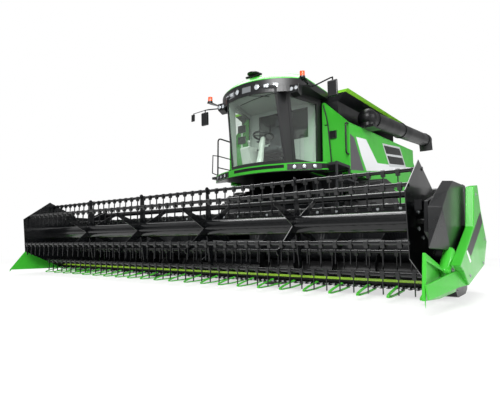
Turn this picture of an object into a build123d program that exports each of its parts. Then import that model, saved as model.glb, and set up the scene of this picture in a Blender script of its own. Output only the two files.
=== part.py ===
from build123d import *
from math import cos, hypot, radians, sin
import os

os.makedirs("parts", exist_ok=True)

# Frame: +Z up with the ground at z = 0, the front towards -Y, the machine's left at +X.
# Places along the machine are distances behind the reel's axis, called "aft" below.
# reel_y puts the origin under the middle of the whole machine.
reel_y = -4266

# Fits
running = 0.08  # radial clearance of a shaft in its bearing
seat_gap = 0.3  # a piece that rests on another across a joint
panel_gap = 6  # around doors and hinged panels
sheet = 8  # folded sheet of the header and the tank

# Header
cutting_width = 7200
guard_pitch = 76.2
end_wall = 12
floor_z = 130  # inside the trough, under the auger
lip_aft, lip_z = 330, 150
bar_top = 100
back_aft = 1300
back_top = 1080
mouth_half = 650
mouth_low, mouth_high = 246, 954
auger_aft, auger_z, auger_r, auger_tube_r = 950, 480, 330, 150
flight = 10

# Reel
reel_z = 780
bat_circle = 520
bat_count = 6
bat_r = 20
bat_phase = -6  # degrees from straight up towards the front
tine_pitch = 2 * guard_pitch
tines_per_section = 9
section = tines_per_section * tine_pitch
section_count = 5
reel_half = section * section_count / 2
reel_tube_r = 105
tine_length = 200
tine_thick = 9
stub_r = 30
arm_x, arm_wide, arm_tall, arm_z = 3505, 60, 90, 900
arm_front = -430
reel_pivot_aft, reel_pivot_z = 1250, 1200

# Feeder house
pivot_aft, pivot_z, pivot_r = 3050, 1750, 60
feeder_half = 640

# Lift cylinders, from their pins on the front axle to the feeder's pins
foot_aft, foot_z, foot_x, pin_r = 3440, 700, 560, 24
eye_aft, eye_z = 1950, 500

# Wheels
front_axle_aft = 3950
wheelbase = 3900
rear_axle_aft = front_axle_aft + wheelbase
front_r, front_wide, front_x, front_rim_r = 930, 660, 1550, 430
rear_r, rear_wide, rear_x, rear_rim_r = 650, 480, 1400, 330
hub_r = 140
kingpin_x, kingpin_r = 1040, 45

# Body
body_half = 1450
core_half = 1280
lower_half = 1050
body_front, body_rear = 3250, 7450
body_bottom = 1900
ledge_front_z = 2860
ledge_slope = 3.6  # degrees, rising to the rear
panel_thick = 40

# Main frame
rail_low, rail_rear = 960, 8300
hitch_plate, hitch_hole_r = 35, 16.5

# Grain tank
tank_half = 1190
tank_front, tank_rear = 3150, 6600
tank_floor = 2400
tank_front_z = 3360
tank_slope = 3.0  # degrees
flare, front_flare = 230, 20
flare_rise = 200

# Unloading tube
turret_x, turret_aft = 1480, 3950
tube_z, tube_r, tube_length, tube_slope = 3160, 180, 4650, 6.3
elbow_r = 200

# Cab
cab_half = 870
cab_rear, cab_floor, cab_top = 3050, 2010, 3420
screen_foot_aft, screen_head_aft = 2130, 1890
screen_half, screen_bulge = 640, 140
cab_wall = 46
glass = 6
roof_top = 3860
base_half = 1300
deck_half = 900


def aft_plane(x, aft=0, z=0):
    """A plane across the machine, seen from its left: its own x runs aft and its own y runs up."""
    return Plane(origin=(x, reel_y + aft, z), x_dir=(0, 1, 0), z_dir=(1, 0, 0))


def deck_plane(z):
    """A level plane at height z, measured from the reel's axis."""
    return Plane(origin=(0, reel_y, z))


def slab(outline, x_from, x_to, mode=Mode.ADD):
    """A side outline of (aft, z) points, drawn across the machine."""
    with BuildSketch(aft_plane(x_from)) as side:
        Polygon(*outline, align=None)
    extrude(side.sketch, amount=x_to - x_from, mode=mode)


def both_slabs(outline, x_from, x_to, mode=Mode.ADD):
    """The same outline on the left and on the right."""
    slab(outline, x_from, x_to, mode)
    slab(outline, -x_to, -x_from, mode)


def block(x_from, x_to, aft_from, aft_to, z_from, z_to, mode=Mode.ADD):
    """A straight block between two corners."""
    with Locations((x_from, reel_y + aft_from, z_from)):
        Box(x_to - x_from, aft_to - aft_from, z_to - z_from, align=(Align.MIN,) * 3, mode=mode)


def both_blocks(x_from, x_to, aft_from, aft_to, z_from, z_to, mode=Mode.ADD):
    """The same block on the left and on the right."""
    block(x_from, x_to, aft_from, aft_to, z_from, z_to, mode)
    block(-x_to, -x_from, aft_from, aft_to, z_from, z_to, mode)


def disc(x_from, x_to, aft, z, radius, mode=Mode.ADD):
    """A round bar or a hole across the machine."""
    with BuildSketch(aft_plane(x_from, aft, z)) as face:
        Circle(radius)
    extrude(face.sketch, amount=x_to - x_from, mode=mode)


def both_discs(x_from, x_to, aft, z, radius, mode=Mode.ADD):
    """The same round bar on the left and on the right."""
    disc(x_from, x_to, aft, z, radius, mode)
    disc(-x_to, -x_from, aft, z, radius, mode)


def rod(start, end, radius, mode=Mode.ADD):
    """A round bar between two points given as (x, aft, z)."""
    first = Vector(start[0], reel_y + start[1], start[2])
    last = Vector(end[0], reel_y + end[1], end[2])
    with BuildSketch(Plane(origin=first, z_dir=last - first)) as face:
        Circle(radius)
    extrude(face.sketch, amount=(last - first).length, mode=mode)


def rail(points, radius, bend):
    """A bent tube through (x, aft, z) points, with the same bend radius at each corner."""
    with BuildLine() as path:
        FilletPolyline(*[(x, reel_y + aft, z) for x, aft, z in points], radius=bend)
    with BuildSketch(path.line ^ 0) as face:
        Circle(radius)
    sweep(face.sketch, path=path.line)


def repeat(piece, places):
    """Copies of a piece made on the middle plane, moved across the machine."""
    with Locations(*[(x, 0, 0) for x in places]):
        add(piece.part)


def save(piece, name):
    """Name a finished piece and write its file."""
    piece.part.label = name
    export_step(piece.part, f"parts/{name}.step")


# Header trough: floor, back wall with the feeder mouth, end walls, rear beams and skid shoes
half_width = cutting_width / 2
trough_r = back_aft - auger_aft
with BuildPart() as header_frame:
    with BuildSketch(aft_plane(-half_width)) as trough:
        with BuildLine():
            lip = Line((lip_aft, lip_z), (lip_aft + 70, lip_z + 22))
            ramp = Line(lip @ 1, (lip_aft + 290, floor_z + 6))
            flat = Line(ramp @ 1, (auger_aft, auger_z - trough_r))
            bowl = CenterArc((auger_aft, auger_z), trough_r, -90, 90)
            wall = Line(bowl @ 1, (back_aft, back_top))
            Line(wall @ 1, (back_aft + sheet, back_top))
            Line((back_aft + sheet, back_top), (back_aft + sheet, auger_z))
            CenterArc((auger_aft, auger_z), trough_r + sheet, 0, -90)
            Line((auger_aft, auger_z - trough_r - sheet), (lip_aft + 290, floor_z + 6 - sheet))
            Line((lip_aft + 290, floor_z + 6 - sheet), (lip_aft + 70, lip_z + 22 - sheet))
            Line((lip_aft + 70, lip_z + 22 - sheet), (lip_aft, lip_z - sheet))
            Line((lip_aft, lip_z - sheet), (lip_aft, lip_z))
        make_face()
    extrude(trough.sketch, amount=cutting_width)
    # sill that the cutter bar is bolted to
    sill_aft = lip_aft + 72
    slab([(sill_aft, bar_top), (sill_aft, lip_z + 18), (sill_aft + 60, lip_z + 10), (sill_aft + 60, bar_top)],
         -half_width, half_width)
    # rear beams and posts carry the back wall
    beam_aft = back_aft + sheet
    block(-half_width, half_width, beam_aft, beam_aft + 120, floor_z - 10, floor_z + 100)
    block(-half_width, half_width, beam_aft, beam_aft + 100, back_top - 110, back_top)
    for post in (-3540, -2400, -1500, -720, 720, 1500, 2400, 3540):
        block(post - 30, post + 30, beam_aft, beam_aft + 100, floor_z, back_top)
    end_outline = [
        (-90, 300), (lip_aft, 95), (back_aft, 95), (beam_aft + 120, floor_z), (beam_aft + 120, back_top),
        (back_aft + 40, reel_pivot_z + 60), (reel_pivot_aft - 70, reel_pivot_z + 60),
        (900, 1120), (240, 1120), (-60, 700),
    ]
    both_slabs(end_outline, half_width, half_width + end_wall)
    block(-mouth_half, mouth_half, auger_aft, beam_aft + 1, mouth_low, mouth_high, Mode.SUBTRACT)
    both_discs(half_width - 1, half_width + end_wall + 1, reel_pivot_aft, reel_pivot_z, stub_r + running, Mode.SUBTRACT)
    both_discs(half_width - 1, half_width + end_wall + 1, auger_aft, auger_z, stub_r + running, Mode.SUBTRACT)
    # skid shoes
    shoe = [(560, 95), (640, 12), (700, 0), (1120, 0), (1240, 40), (1290, 120), (1200, 120), (1120, 70), (690, 70)]
    both_slabs(shoe, half_width - 160, half_width - 10)
    both_slabs(shoe, 1150, 1300)
    both_blocks(half_width - 160, half_width - 10, 690, 1120, 60, floor_z - 2)
    both_blocks(1150, 1300, 690, 1120, 60, floor_z - 2)
save(header_frame, "header_frame")

# Cutter bar: a plate under the lip with one guard at every pitch
knife_thick = 3
guard_half = 11
guard_count = int((half_width - guard_half) // guard_pitch)
with BuildPart() as cutter_bar:
    block(-half_width, half_width, lip_aft + 10, lip_aft + 130, bar_top - 12, bar_top)
    guard_tip = lip_aft - 70
    guard_side = [
        (guard_tip, 97), (guard_tip + 30, 112), (lip_aft + 20, 118), (lip_aft + 20, bar_top + 5),
        (guard_tip + 36, bar_top + 5), (guard_tip + 36, bar_top), (lip_aft + 60, bar_top),
        (lip_aft + 60, bar_top - 20), (lip_aft - 10, bar_top - 20),
    ]
    with BuildPart(mode=Mode.PRIVATE) as guard:
        slab(guard_side, -guard_half, guard_half)
    repeat(guard, [index * guard_pitch for index in range(-guard_count, guard_count + 1)])
save(cutter_bar, "cutter_bar")

# Knife: one toothed strip that runs to and fro in the slots of the guards
knife_low = bar_top + seat_gap
with BuildPart() as knife:
    teeth = []
    tooth_tip, tooth_root, knife_back = guard_tip + 42, lip_aft + 32, lip_aft + 60
    for index in range(1 - guard_count, guard_count - 1):
        left = index * guard_pitch
        teeth += [(left + 4, tooth_root), (left + 28, tooth_tip), (left + 48, tooth_tip), (left + 72, tooth_root)]
    ends = (guard_count - 1) * guard_pitch
    outline = [(-ends, knife_back), (-ends, tooth_root)] + teeth + [(ends, tooth_root), (ends, knife_back)]
    with BuildSketch(deck_plane(knife_low)) as strip:
        Polygon(*outline, align=None)
    extrude(strip.sketch, amount=knife_thick)
save(knife, "knife")

# Crop lifters: a looped spring finger on every fourth guard, midway between two tines
lifter_r = 7
lifter_every = 4
with BuildPart(mode=Mode.PRIVATE) as lifter:
    rail([(0, lip_aft + 40, 73), (0, 120, 52), (0, -150, 46), (0, -60, 84), (0, 170, 128)], lifter_r, 16)
    block(-9, 9, lip_aft + 10, lip_aft + 60, 64, bar_top - 20)
lifter_reach = int(half_width / guard_pitch / lifter_every)
with BuildPart() as crop_lifters:
    repeat(lifter, [(lifter_every * index + 1) * guard_pitch for index in range(-lifter_reach, lifter_reach + 1)])
save(crop_lifters, "crop_lifters")

# Dividers and end covers
cover_out = 280
with BuildPart() as dividers:
    nose = [(-868, 132), (-748, 500), (-277, 400), (60, 330), (lip_aft, 300), (lip_aft, 100), (-400, 100)]
    slab(nose, half_width + end_wall, half_width + end_wall + 60)
    wedge = [(-640, 100), (-520, 230), (-377, 445), (-285, 505), (-103, 505), (110, 330), (lip_aft, 300), (lip_aft, 95)]
    slab(wedge, -half_width - end_wall - 60, -half_width - end_wall)
save(dividers, "dividers")

with BuildPart() as end_covers:
    outline = [(0, 1090), (250, 1050), (450, 820), (610, 550), (380, 340), (-490, 230), (-880, 410), (-285, 720)]
    slab(outline, half_width + 130, half_width + cover_out)
    block(half_width + end_wall, half_width + 131, 60, 360, 360, 900)
    outline = [(420, 200), (420, 900), (620, 1080), (1380, 1080), (1400, 200)]
    slab(outline, -half_width - 200, -half_width - end_wall)
save(end_covers, "end_covers")

# Intake auger: a tube with two flights that wind inwards from the ends to the feeder mouth
with BuildPart() as intake_auger:
    disc(-half_width + 30, half_width - 30, auger_aft, auger_z, auger_tube_r)
    both_discs(half_width - 31, half_width + end_wall - 2, auger_aft, auger_z, stub_r)
    turns, lead = 5, 560
    for index in range(turns + 1):
        x = mouth_half + index * lead
        if x < half_width - 60:
            both_discs(x, x + flight, auger_aft, auger_z, auger_r)
save(intake_auger, "intake_auger")

# Reel arms on a torque tube along the top of the back wall
with BuildPart() as reel_arms:
    both_discs(half_width - 60, half_width + end_wall - 2, reel_pivot_aft, reel_pivot_z, stub_r)
    disc(-half_width + 60, half_width - 60, reel_pivot_aft, reel_pivot_z, 45)
    elbow = 560
    arm_outline = [
        (arm_front, arm_z - arm_tall / 2), (arm_front, arm_z + arm_tall / 2), (elbow, arm_z + arm_tall / 2),
        (reel_pivot_aft - 30, reel_pivot_z + 60), (reel_pivot_aft + 50, reel_pivot_z + 40),
        (reel_pivot_aft + 50, reel_pivot_z - 60), (elbow + 60, arm_z - arm_tall / 2),
    ]
    both_slabs(arm_outline, arm_x - arm_wide / 2, arm_x + arm_wide / 2)
save(reel_arms, "reel_arms")

# Reel carriers: sleeves that slide along the arms and hold the reel's bearings
slide_gap = 0.5
with BuildPart() as reel_carriers:
    sleeve_x, sleeve_z = arm_wide / 2 + slide_gap, arm_tall / 2 + slide_gap
    both_blocks(arm_x - sleeve_x - 12, arm_x + sleeve_x + 12, -75, 75, arm_z - sleeve_z - 20, arm_z + sleeve_z + 14)
    bearing = [(-60, arm_z - sleeve_z - 10), (60, arm_z - sleeve_z - 10), (60, reel_z - 20), (30, reel_z - 60),
               (-30, reel_z - 60), (-60, reel_z - 20)]
    both_slabs(bearing, arm_x - 25, arm_x + 15)
    both_blocks(arm_x - sleeve_x, arm_x + sleeve_x, -80, 80, arm_z - sleeve_z, arm_z + sleeve_z, Mode.SUBTRACT)
    both_discs(arm_x - 40, arm_x + 40, 0, reel_z, stub_r + running, Mode.SUBTRACT)
save(reel_carriers, "reel_carriers")

# Reel: centre tube, spiders between the sections and end plates, with a bearing for each bat
bats = []
for number in range(bat_count):
    angle = radians(bat_phase + number * 360 / bat_count)
    bats.append((-bat_circle * sin(angle), reel_z + bat_circle * cos(angle)))
spider_thick = 8
with BuildPart() as reel:
    disc(-reel_half, reel_half, 0, reel_z, reel_tube_r)
    both_discs(reel_half - 1, arm_x + 20, 0, reel_z, stub_r)
    with BuildPart(mode=Mode.PRIVATE) as spider:
        with BuildSketch(aft_plane(-spider_thick / 2, 0, reel_z)) as arms:
            with PolarLocations(0, bat_count, start_angle=90 - bat_phase):
                Polygon((reel_tube_r - 15, -60), (bat_circle - bat_r, -24), (bat_circle - bat_r, 24),
                        (reel_tube_r - 15, 60), align=None)
            with PolarLocations(bat_circle, bat_count, start_angle=90 - bat_phase):
                Circle(bat_r + 14)
        extrude(arms.sketch, amount=spider_thick)
    repeat(spider, [-reel_half + number * section for number in range(1, section_count)])
    plate_r = bat_circle + bat_r + 20
    for side in (-1, 1):
        with BuildSketch(aft_plane(side * reel_half - spider_thick / 2, 0, reel_z)) as plate:
            RegularPolygon(plate_r / cos(radians(30)) * 0.92, bat_count, rotation=90 - bat_phase)
        extrude(plate.sketch, amount=spider_thick)
    for aft, z in bats:
        disc(-reel_half - 30, reel_half + 30, aft, z, bat_r + running, Mode.SUBTRACT)
save(reel, "reel")

# Bats: each a tube with its tines, which hang straight down at every turn of the reel
tine_reach = int(reel_half // tine_pitch)
with BuildPart(mode=Mode.PRIVATE) as tined_bat:
    disc(-reel_half - 12, reel_half + 12, 0, 0, bat_r)
    with Locations(*[(index * tine_pitch, reel_y, -bat_r + 6) for index in range(-tine_reach, tine_reach + 1)]):
        Box(tine_thick, 2 * tine_thick - 2, tine_length - bat_r + 6, align=(Align.CENTER, Align.CENTER, Align.MAX))
for number, (aft, z) in enumerate(bats):
    with BuildPart() as bat:
        with Locations((0, aft, z)):
            add(tined_bat.part)
    save(bat, f"bat_{number + 1}")

# Feeder house: a slanted duct from the trough's mouth up to its pivot
mouth_face = beam_aft
with BuildPart() as feeder_house:
    duct = [(mouth_face, 232), (mouth_face, 968), (mouth_face + 112, 968), (mouth_face + 260, 1046), (2960, 1815),
            (3070, 1800), (3200, 1520), (mouth_face + 200, 232)]
    slab(duct, -feeder_half, feeder_half)
    core = [(mouth_face - 10, 246), (mouth_face - 10, 954), (mouth_face + 114, 954), (mouth_face + 266, 1032),
            (2955, 1799), (3074, 1786), (3206, 1540), (mouth_face + 196, 246)]
    slab(core, -feeder_half + 14, feeder_half - 14, Mode.SUBTRACT)
    both_discs(feeder_half - 10, feeder_half + 110, pivot_aft, pivot_z, pivot_r)
    for side in (-1, 1):
        for ear_x in (-66, 46):
            near = side * foot_x + ear_x
            slab([(eye_aft - 90, eye_z - 10), (eye_aft - 40, eye_z - 50), (eye_aft + 40, eye_z - 50),
                  (eye_aft + 130, eye_z + 170)], near, near + 20)
        disc(side * foot_x - 70, side * foot_x + 70, eye_aft, eye_z, pin_r)
save(feeder_house, "feeder_house")

# Main frame: two rails with the feeder's pivot brackets
with BuildPart() as frame:
    both_blocks(700, 780, pivot_aft + 100, rail_rear, rail_low, rail_low + 160)
    # rear cross member with the tow hitch
    block(-701, 701, rail_rear - 80, rail_rear, rail_low, rail_low + 160)
    block(-70, 70, rail_rear - 1, rail_rear + 130, rail_low + 60, rail_low + 60 + hitch_plate)
    rod((0, rail_rear + 80, rail_low), (0, rail_rear + 80, rail_low + 150), hitch_hole_r, Mode.SUBTRACT)
    bracket = [(pivot_aft - 110, pivot_z - 110), (pivot_aft - 110, pivot_z + 105), (body_front, pivot_z + 105),
               (body_front, rail_low + 10), (pivot_aft + 100, rail_low + 10)]
    both_slabs(bracket, 700, 750)
    both_discs(690, 790, pivot_aft, pivot_z, pivot_r + running, Mode.SUBTRACT)
save(frame, "frame")

# Front axle: a box beam with final drives and hubs; brackets in front hold the lift cylinders
axle_z = front_r
with BuildPart() as front_axle:
    block(-1180, 1180, front_axle_aft - 150, front_axle_aft + 150, axle_z - 140, rail_low)
    both_discs(lower_half + 10, 1230, front_axle_aft, axle_z, 290)
    both_discs(1229, front_x + 60, front_axle_aft, axle_z, hub_r)
    for side in (-1, 1):
        x = side * foot_x
        ear = [(foot_aft - 45, foot_z - 45), (foot_aft - 45, foot_z + 45), (front_axle_aft - 150, axle_z),
               (front_axle_aft - 150, axle_z - 140)]
        slab(ear, x - 66, x - 46)
        slab(ear, x + 46, x + 66)
        disc(x - 70, x + 70, foot_aft, foot_z, pin_r)
save(front_axle, "front_axle")

# Lift cylinders: each barrel turns on its pin at the axle, each rod's eye sits round the feeder's pin
reach = hypot(foot_aft - eye_aft, eye_z - foot_z)
along = Vector(0, eye_aft - foot_aft, eye_z - foot_z).normalized()
barrel_length, bore_r, barrel_r, rod_r = 930, 45, 58, 32


def spot(x, distance):
    """A point on a cylinder's middle line, measured from its foot pin."""
    return (x, foot_aft + along.Y * distance, foot_z + along.Z * distance)


with BuildPart() as lift_barrels:
    for x in (-foot_x, foot_x):
        rod(spot(x, 75), spot(x, barrel_length), barrel_r)
        rod(spot(x, 30), spot(x, 80), 35)
        disc(x - 40, x + 40, foot_aft, foot_z, 55)
        rod(spot(x, 110), spot(x, barrel_length + 1), bore_r, Mode.SUBTRACT)
        rod(spot(x, barrel_length - 60), spot(x, barrel_length), barrel_r)
        rod(spot(x, barrel_length - 61), spot(x, barrel_length + 1), rod_r + running, Mode.SUBTRACT)
        disc(x - 41, x + 41, foot_aft, foot_z, pin_r + running, Mode.SUBTRACT)
save(lift_barrels, "lift_barrels")

with BuildPart() as lift_rods:
    for x in (-foot_x, foot_x):
        rod(spot(x, 150), spot(x, reach - 40), rod_r)
        rod(spot(x, 130), spot(x, 170), bore_r - running)
        disc(x - 28, x + 28, eye_aft, eye_z, 52)
        disc(x - 29, x + 29, eye_aft, eye_z, pin_r + 10, Mode.SUBTRACT)
save(lift_rods, "lift_rods")

# Threshing body: the closed core of the machine, narrower between the wheels
with BuildPart() as thresher_body:
    belly = [(body_front, 1300), (body_front, body_bottom), (7900, body_bottom), (7900, 1500), (6900, rail_low), (3700, rail_low)]
    slab(belly, -690, 690)
    both_slabs([(body_front, 1500), (body_front, body_bottom), (6900, body_bottom), (6900, 1130), (3600, 1130)], 780, lower_half)
    block(-core_half, core_half, body_front, body_rear, body_bottom, tank_floor)
    both_blocks(689, 781, body_front, 6900, 1300, body_bottom)
    both_discs(600, 800, pivot_aft, pivot_z, 130, Mode.SUBTRACT)
save(thresher_body, "thresher_body")

# Lower shields between the wheels
with BuildPart() as lower_shields:
    shield = [(4960, 1380), (4960, 1890), (6900, 1890), (6860, 1500), (6700, 1380)]
    both_slabs(shield, lower_half, body_half - 20)
save(lower_shields, "lower_shields")

# Body sheets: shoulders beside the cab, ledges above the side panels, sills below them
slope = sin(radians(ledge_slope)) / cos(radians(ledge_slope))


def ledge_z(aft):
    """Height of the ledge above the side panels."""
    return ledge_front_z + (aft - body_front + 210) * slope


with BuildPart() as body_sheets:
    with BuildSketch(Plane(origin=(0, reel_y + 3040, 0), x_dir=(1, 0, 0), z_dir=(0, -1, 0))) as shoulder:
        Polygon((deck_half, cab_floor - 50), (deck_half, 3340), (960, 3340), (body_half, ledge_front_z),
                (body_half, cab_floor - 50), align=None)
        mirror(about=Plane.YZ)
    extrude(shoulder.sketch, amount=-40)
    ledge = [(3040, ledge_z(3040) - 15), (3040, ledge_z(3040)), (body_rear, ledge_z(body_rear)), (body_rear, ledge_z(body_rear) - 15)]
    both_slabs(ledge, tank_half, body_half)
    pillar = [(body_rear - 40, body_bottom), (body_rear - 40, ledge_z(body_rear) - 1), (body_rear, ledge_z(body_rear) - 1), (body_rear, body_bottom)]
    both_slabs(pillar, core_half, body_half)
    both_blocks(core_half, body_half - 50, 3080, body_rear, body_bottom - 4, body_bottom + 20)
    # hinge leaves above the side panels
    for aft in (3500, 5200, 6900):
        top = ledge_z(aft)
        both_slabs([(aft, top - 16), (aft, top - 15 - panel_gap + seat_gap), (aft + 160, ledge_z(aft + 160) - 15 - panel_gap + seat_gap),
                    (aft + 160, top - 3)], body_half - panel_thick, body_half - 4)
save(body_sheets, "body_sheets")

# Side panels: each hangs from the outer edge of its ledge and lifts outwards
for side, word in ((1, "left"), (-1, "right")):
    with BuildPart() as side_panel:
        drop = 15 + panel_gap
        outline = [
            (3086, body_bottom), (3086, ledge_z(3086) - drop), (body_rear - 46, ledge_z(body_rear - 46) - drop),
            (body_rear - 46, body_bottom),
        ]
        inner, outer = sorted((side * (body_half - panel_thick), side * body_half))
        slab(outline, inner, outer)
    save(side_panel, f"side_panel_{word}")

# Belt drives behind the side panels
with BuildPart() as belt_drives:
    pulleys = [(3800, 2190, 200), (4900, 2150, 140), (5800, 2170, 210), (6900, 2200, 150)]
    for aft, z, radius in pulleys:
        both_discs(core_half, core_half + 60, aft, z, radius)
save(belt_drives, "belt_drives")

# Grain tank: open at the top, its rim parallel to the flared extension
rise = sin(radians(tank_slope)) / cos(radians(tank_slope))
tank_rear_z = tank_front_z + (tank_rear - tank_front) * rise
with BuildPart() as grain_tank:
    slab([(tank_front, tank_floor), (tank_front, tank_front_z), (tank_rear, tank_rear_z), (tank_rear, tank_floor)],
         -tank_half, tank_half)
    inner = [(tank_front + sheet, tank_floor + sheet + 250), (tank_front + sheet, tank_rear_z + 9),
             (tank_rear - sheet, tank_rear_z + 9), (tank_rear - sheet, tank_floor + sheet + 250),
             (tank_rear - 700, tank_floor + sheet), (tank_front + 700, tank_floor + sheet)]
    slab(inner, -tank_half + sheet, tank_half - sheet, Mode.SUBTRACT)
save(grain_tank, "grain_tank")

# Tank extension: four flared sheets
rim = Plane(origin=(0, reel_y + (tank_front + tank_rear) / 2, (tank_front_z + tank_rear_z) / 2),
            x_dir=(1, 0, 0), z_dir=(0, -sin(radians(tank_slope)), cos(radians(tank_slope))))
tank_long = (tank_rear - tank_front) / cos(radians(tank_slope))
with BuildPart() as tank_extension:
    for inset, mode in ((0, Mode.ADD), (sheet, Mode.SUBTRACT)):
        with BuildSketch(rim) as foot:
            Rectangle(2 * (tank_half - inset), tank_long - 2 * inset)
        with BuildSketch(rim.offset(flare_rise)) as mouth:
            with Locations((0, (flare - front_flare) / 2)):
                Rectangle(2 * (tank_half + flare - inset), tank_long + flare + front_flare - 2 * inset)
        loft([foot.sketch, mouth.sketch], ruled=True, mode=mode)
save(tank_extension, "tank_extension")

# Unloading tube: an elbow on the turret, the tube along the tank, and a rubber spout
tube_run = Vector(0, cos(radians(tube_slope)), sin(radians(tube_slope)))
turret_top = tube_z - elbow_r - 5
with BuildPart() as auger_turret:
    box = [(turret_aft - 230, ledge_z(turret_aft - 230)), (turret_aft - 230, turret_top), (turret_aft + 230, turret_top),
           (turret_aft + 230, ledge_z(turret_aft + 230))]
    slab(box, tank_half, turret_x + elbow_r)
save(auger_turret, "auger_turret")

with BuildPart() as unload_tube:
    rod((turret_x, turret_aft, turret_top + seat_gap), (turret_x, turret_aft, tube_z), elbow_r - 40)
    with Locations((turret_x, reel_y + turret_aft, tube_z)):
        Sphere(elbow_r)
    end = tube_run * tube_length
    rod((turret_x, turret_aft, tube_z), (turret_x, turret_aft + end.Y, tube_z + end.Z), tube_r)
save(unload_tube, "unload_tube")

turn = tube_run * (tube_length + tube_r + 20)
with BuildPart() as unload_spout:
    rod((turret_x, turret_aft + end.Y, tube_z + end.Z), (turret_x, turret_aft + turn.Y, tube_z + turn.Z), tube_r + 8)
    with Locations((turret_x, reel_y + turret_aft + turn.Y, tube_z + turn.Z)):
        Sphere(tube_r + 8)
    rod((turret_x, turret_aft + turn.Y, tube_z + turn.Z),
        (turret_x, turret_aft + turn.Y + 80, tube_z + turn.Z - 300), tube_r)
save(unload_spout, "unload_spout")

# Engine: one plain block on the deck behind the tank
with BuildPart() as engine_block:
    block(-480, 480, 6800, 7900, tank_floor, 3000)
save(engine_block, "engine_block")

# Rear hood: a sheet shell over the engine, open below
with BuildPart() as rear_hood:
    hood = [(tank_rear + 4, tank_floor), (tank_rear + 4, 3080), (7700, 3130), (8500, 3000), (9150, 2450), (9150, 1950), (body_rear + 4, 1950),
            (body_rear + 4, tank_floor)]
    slab(hood, -1180, 1180)
    hollow = [(tank_rear + 24, tank_floor - 1), (tank_rear + 24, 3060), (7700, 3110), (8490, 2982), (9130, 2440), (9130, 1949),
              (body_rear + 4, 1949), (body_rear + 4, tank_floor - 1)]
    slab(hollow, -1160, 1160, Mode.SUBTRACT)
save(rear_hood, "rear_hood")

# Straw hood with the chopper below it
with BuildPart() as straw_hood:
    slab([(7900, 1500), (7900, 1950), (9150, 1950), (9350, 1760), (9400, 1300), (8800, 1050), (8450, 1250)], -800, 800)
save(straw_hood, "straw_hood")

# Rear axle with kingpins
rear_z = rear_r
with BuildPart() as rear_axle:
    block(-kingpin_x + 90, kingpin_x - 90, rear_axle_aft - 90, rear_axle_aft + 90, rear_z - 90, rear_z + 90)
    both_blocks(700, 780, rear_axle_aft - 120, rear_axle_aft + 120, rear_z + 89, rail_low)
    for side in (-1, 1):
        x = side * kingpin_x
        for low, high in ((rear_z - 110, rear_z - 80), (rear_z + 80, rear_z + 110)):
            block(min(x, x - side * 130), max(x, x - side * 130), rear_axle_aft - 60, rear_axle_aft + 60, low, high)
            rod((x, rear_axle_aft, low), (x, rear_axle_aft, high), 60)
        rod((x, rear_axle_aft, rear_z - 111), (x, rear_axle_aft, rear_z + 111), kingpin_r + running, Mode.SUBTRACT)
save(rear_axle, "rear_axle")

for side, word in ((1, "left"), (-1, "right")):
    with BuildPart() as knuckle:
        x = side * kingpin_x
        rod((x, rear_axle_aft, rear_z - 125), (x, rear_axle_aft, rear_z + 125), kingpin_r)
        rod((x, rear_axle_aft, rear_z - 70), (x, rear_axle_aft, rear_z + 70), 58)
        near, far = sorted((x, side * (rear_x + 60)))
        disc(near, far, rear_axle_aft, rear_z, 55)
    save(knuckle, f"knuckle_{word}")

# Wheels
wheels = [
    ("front", front_axle_aft, front_r, front_wide, front_x, front_rim_r, hub_r),
    ("rear", rear_axle_aft, rear_r, rear_wide, rear_x, rear_rim_r, 55),
]
for end_word, aft, radius, wide, centre_x, rim_r, axle_r in wheels:
    for side, word in ((1, "left"), (-1, "right")):
        centre = side * centre_x
        with BuildPart() as tyre:
            with BuildSketch(Plane(origin=(centre, reel_y + aft, radius), x_dir=(1, 0, 0), z_dir=(0, 1, 0))) as section_face:
                half = wide / 2
                Polygon((-half + 70, rim_r), (-half, rim_r + 90), (-half, radius - 110), (-half + 60, radius - 20),
                        (-half + 160, radius), (half - 160, radius), (half - 60, radius - 20), (half, radius - 110),
                        (half, rim_r + 90), (half - 70, rim_r), align=None)
            revolve(section_face.sketch, axis=Axis((centre, reel_y + aft, radius), (1, 0, 0)))
        save(tyre, f"tyre_{end_word}_{word}")
        with BuildPart() as rim_part:
            disc(centre - half + 60, centre + half - 60, aft, radius, rim_r)
            disc(centre - half + 59, centre - 20, aft, radius, rim_r - 30, Mode.SUBTRACT)
            disc(centre + 20, centre + half - 59, aft, radius, rim_r - 30, Mode.SUBTRACT)
            disc(centre - 21, centre + 21, aft, radius, axle_r + running, Mode.SUBTRACT)
        save(rim_part, f"rim_{end_word}_{word}")

# Cab base: the fascia in front of and below the cab
with BuildPart() as cab_base:
    with BuildSketch(deck_plane(1860)) as base_plan:
        with BuildLine():
            front_edge = ThreePointArc((-base_half, 2400), (0, 1950), (base_half, 2400))
            Polyline(front_edge @ 1, (base_half, 2440), (deck_half, 2440), (deck_half, body_front),
                     (-deck_half, body_front), (-deck_half, 2440), (-base_half, 2440), front_edge @ 0)
        make_face()
    extrude(base_plan.sketch, amount=cab_floor - 1860)
save(cab_base, "cab_base")


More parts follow.
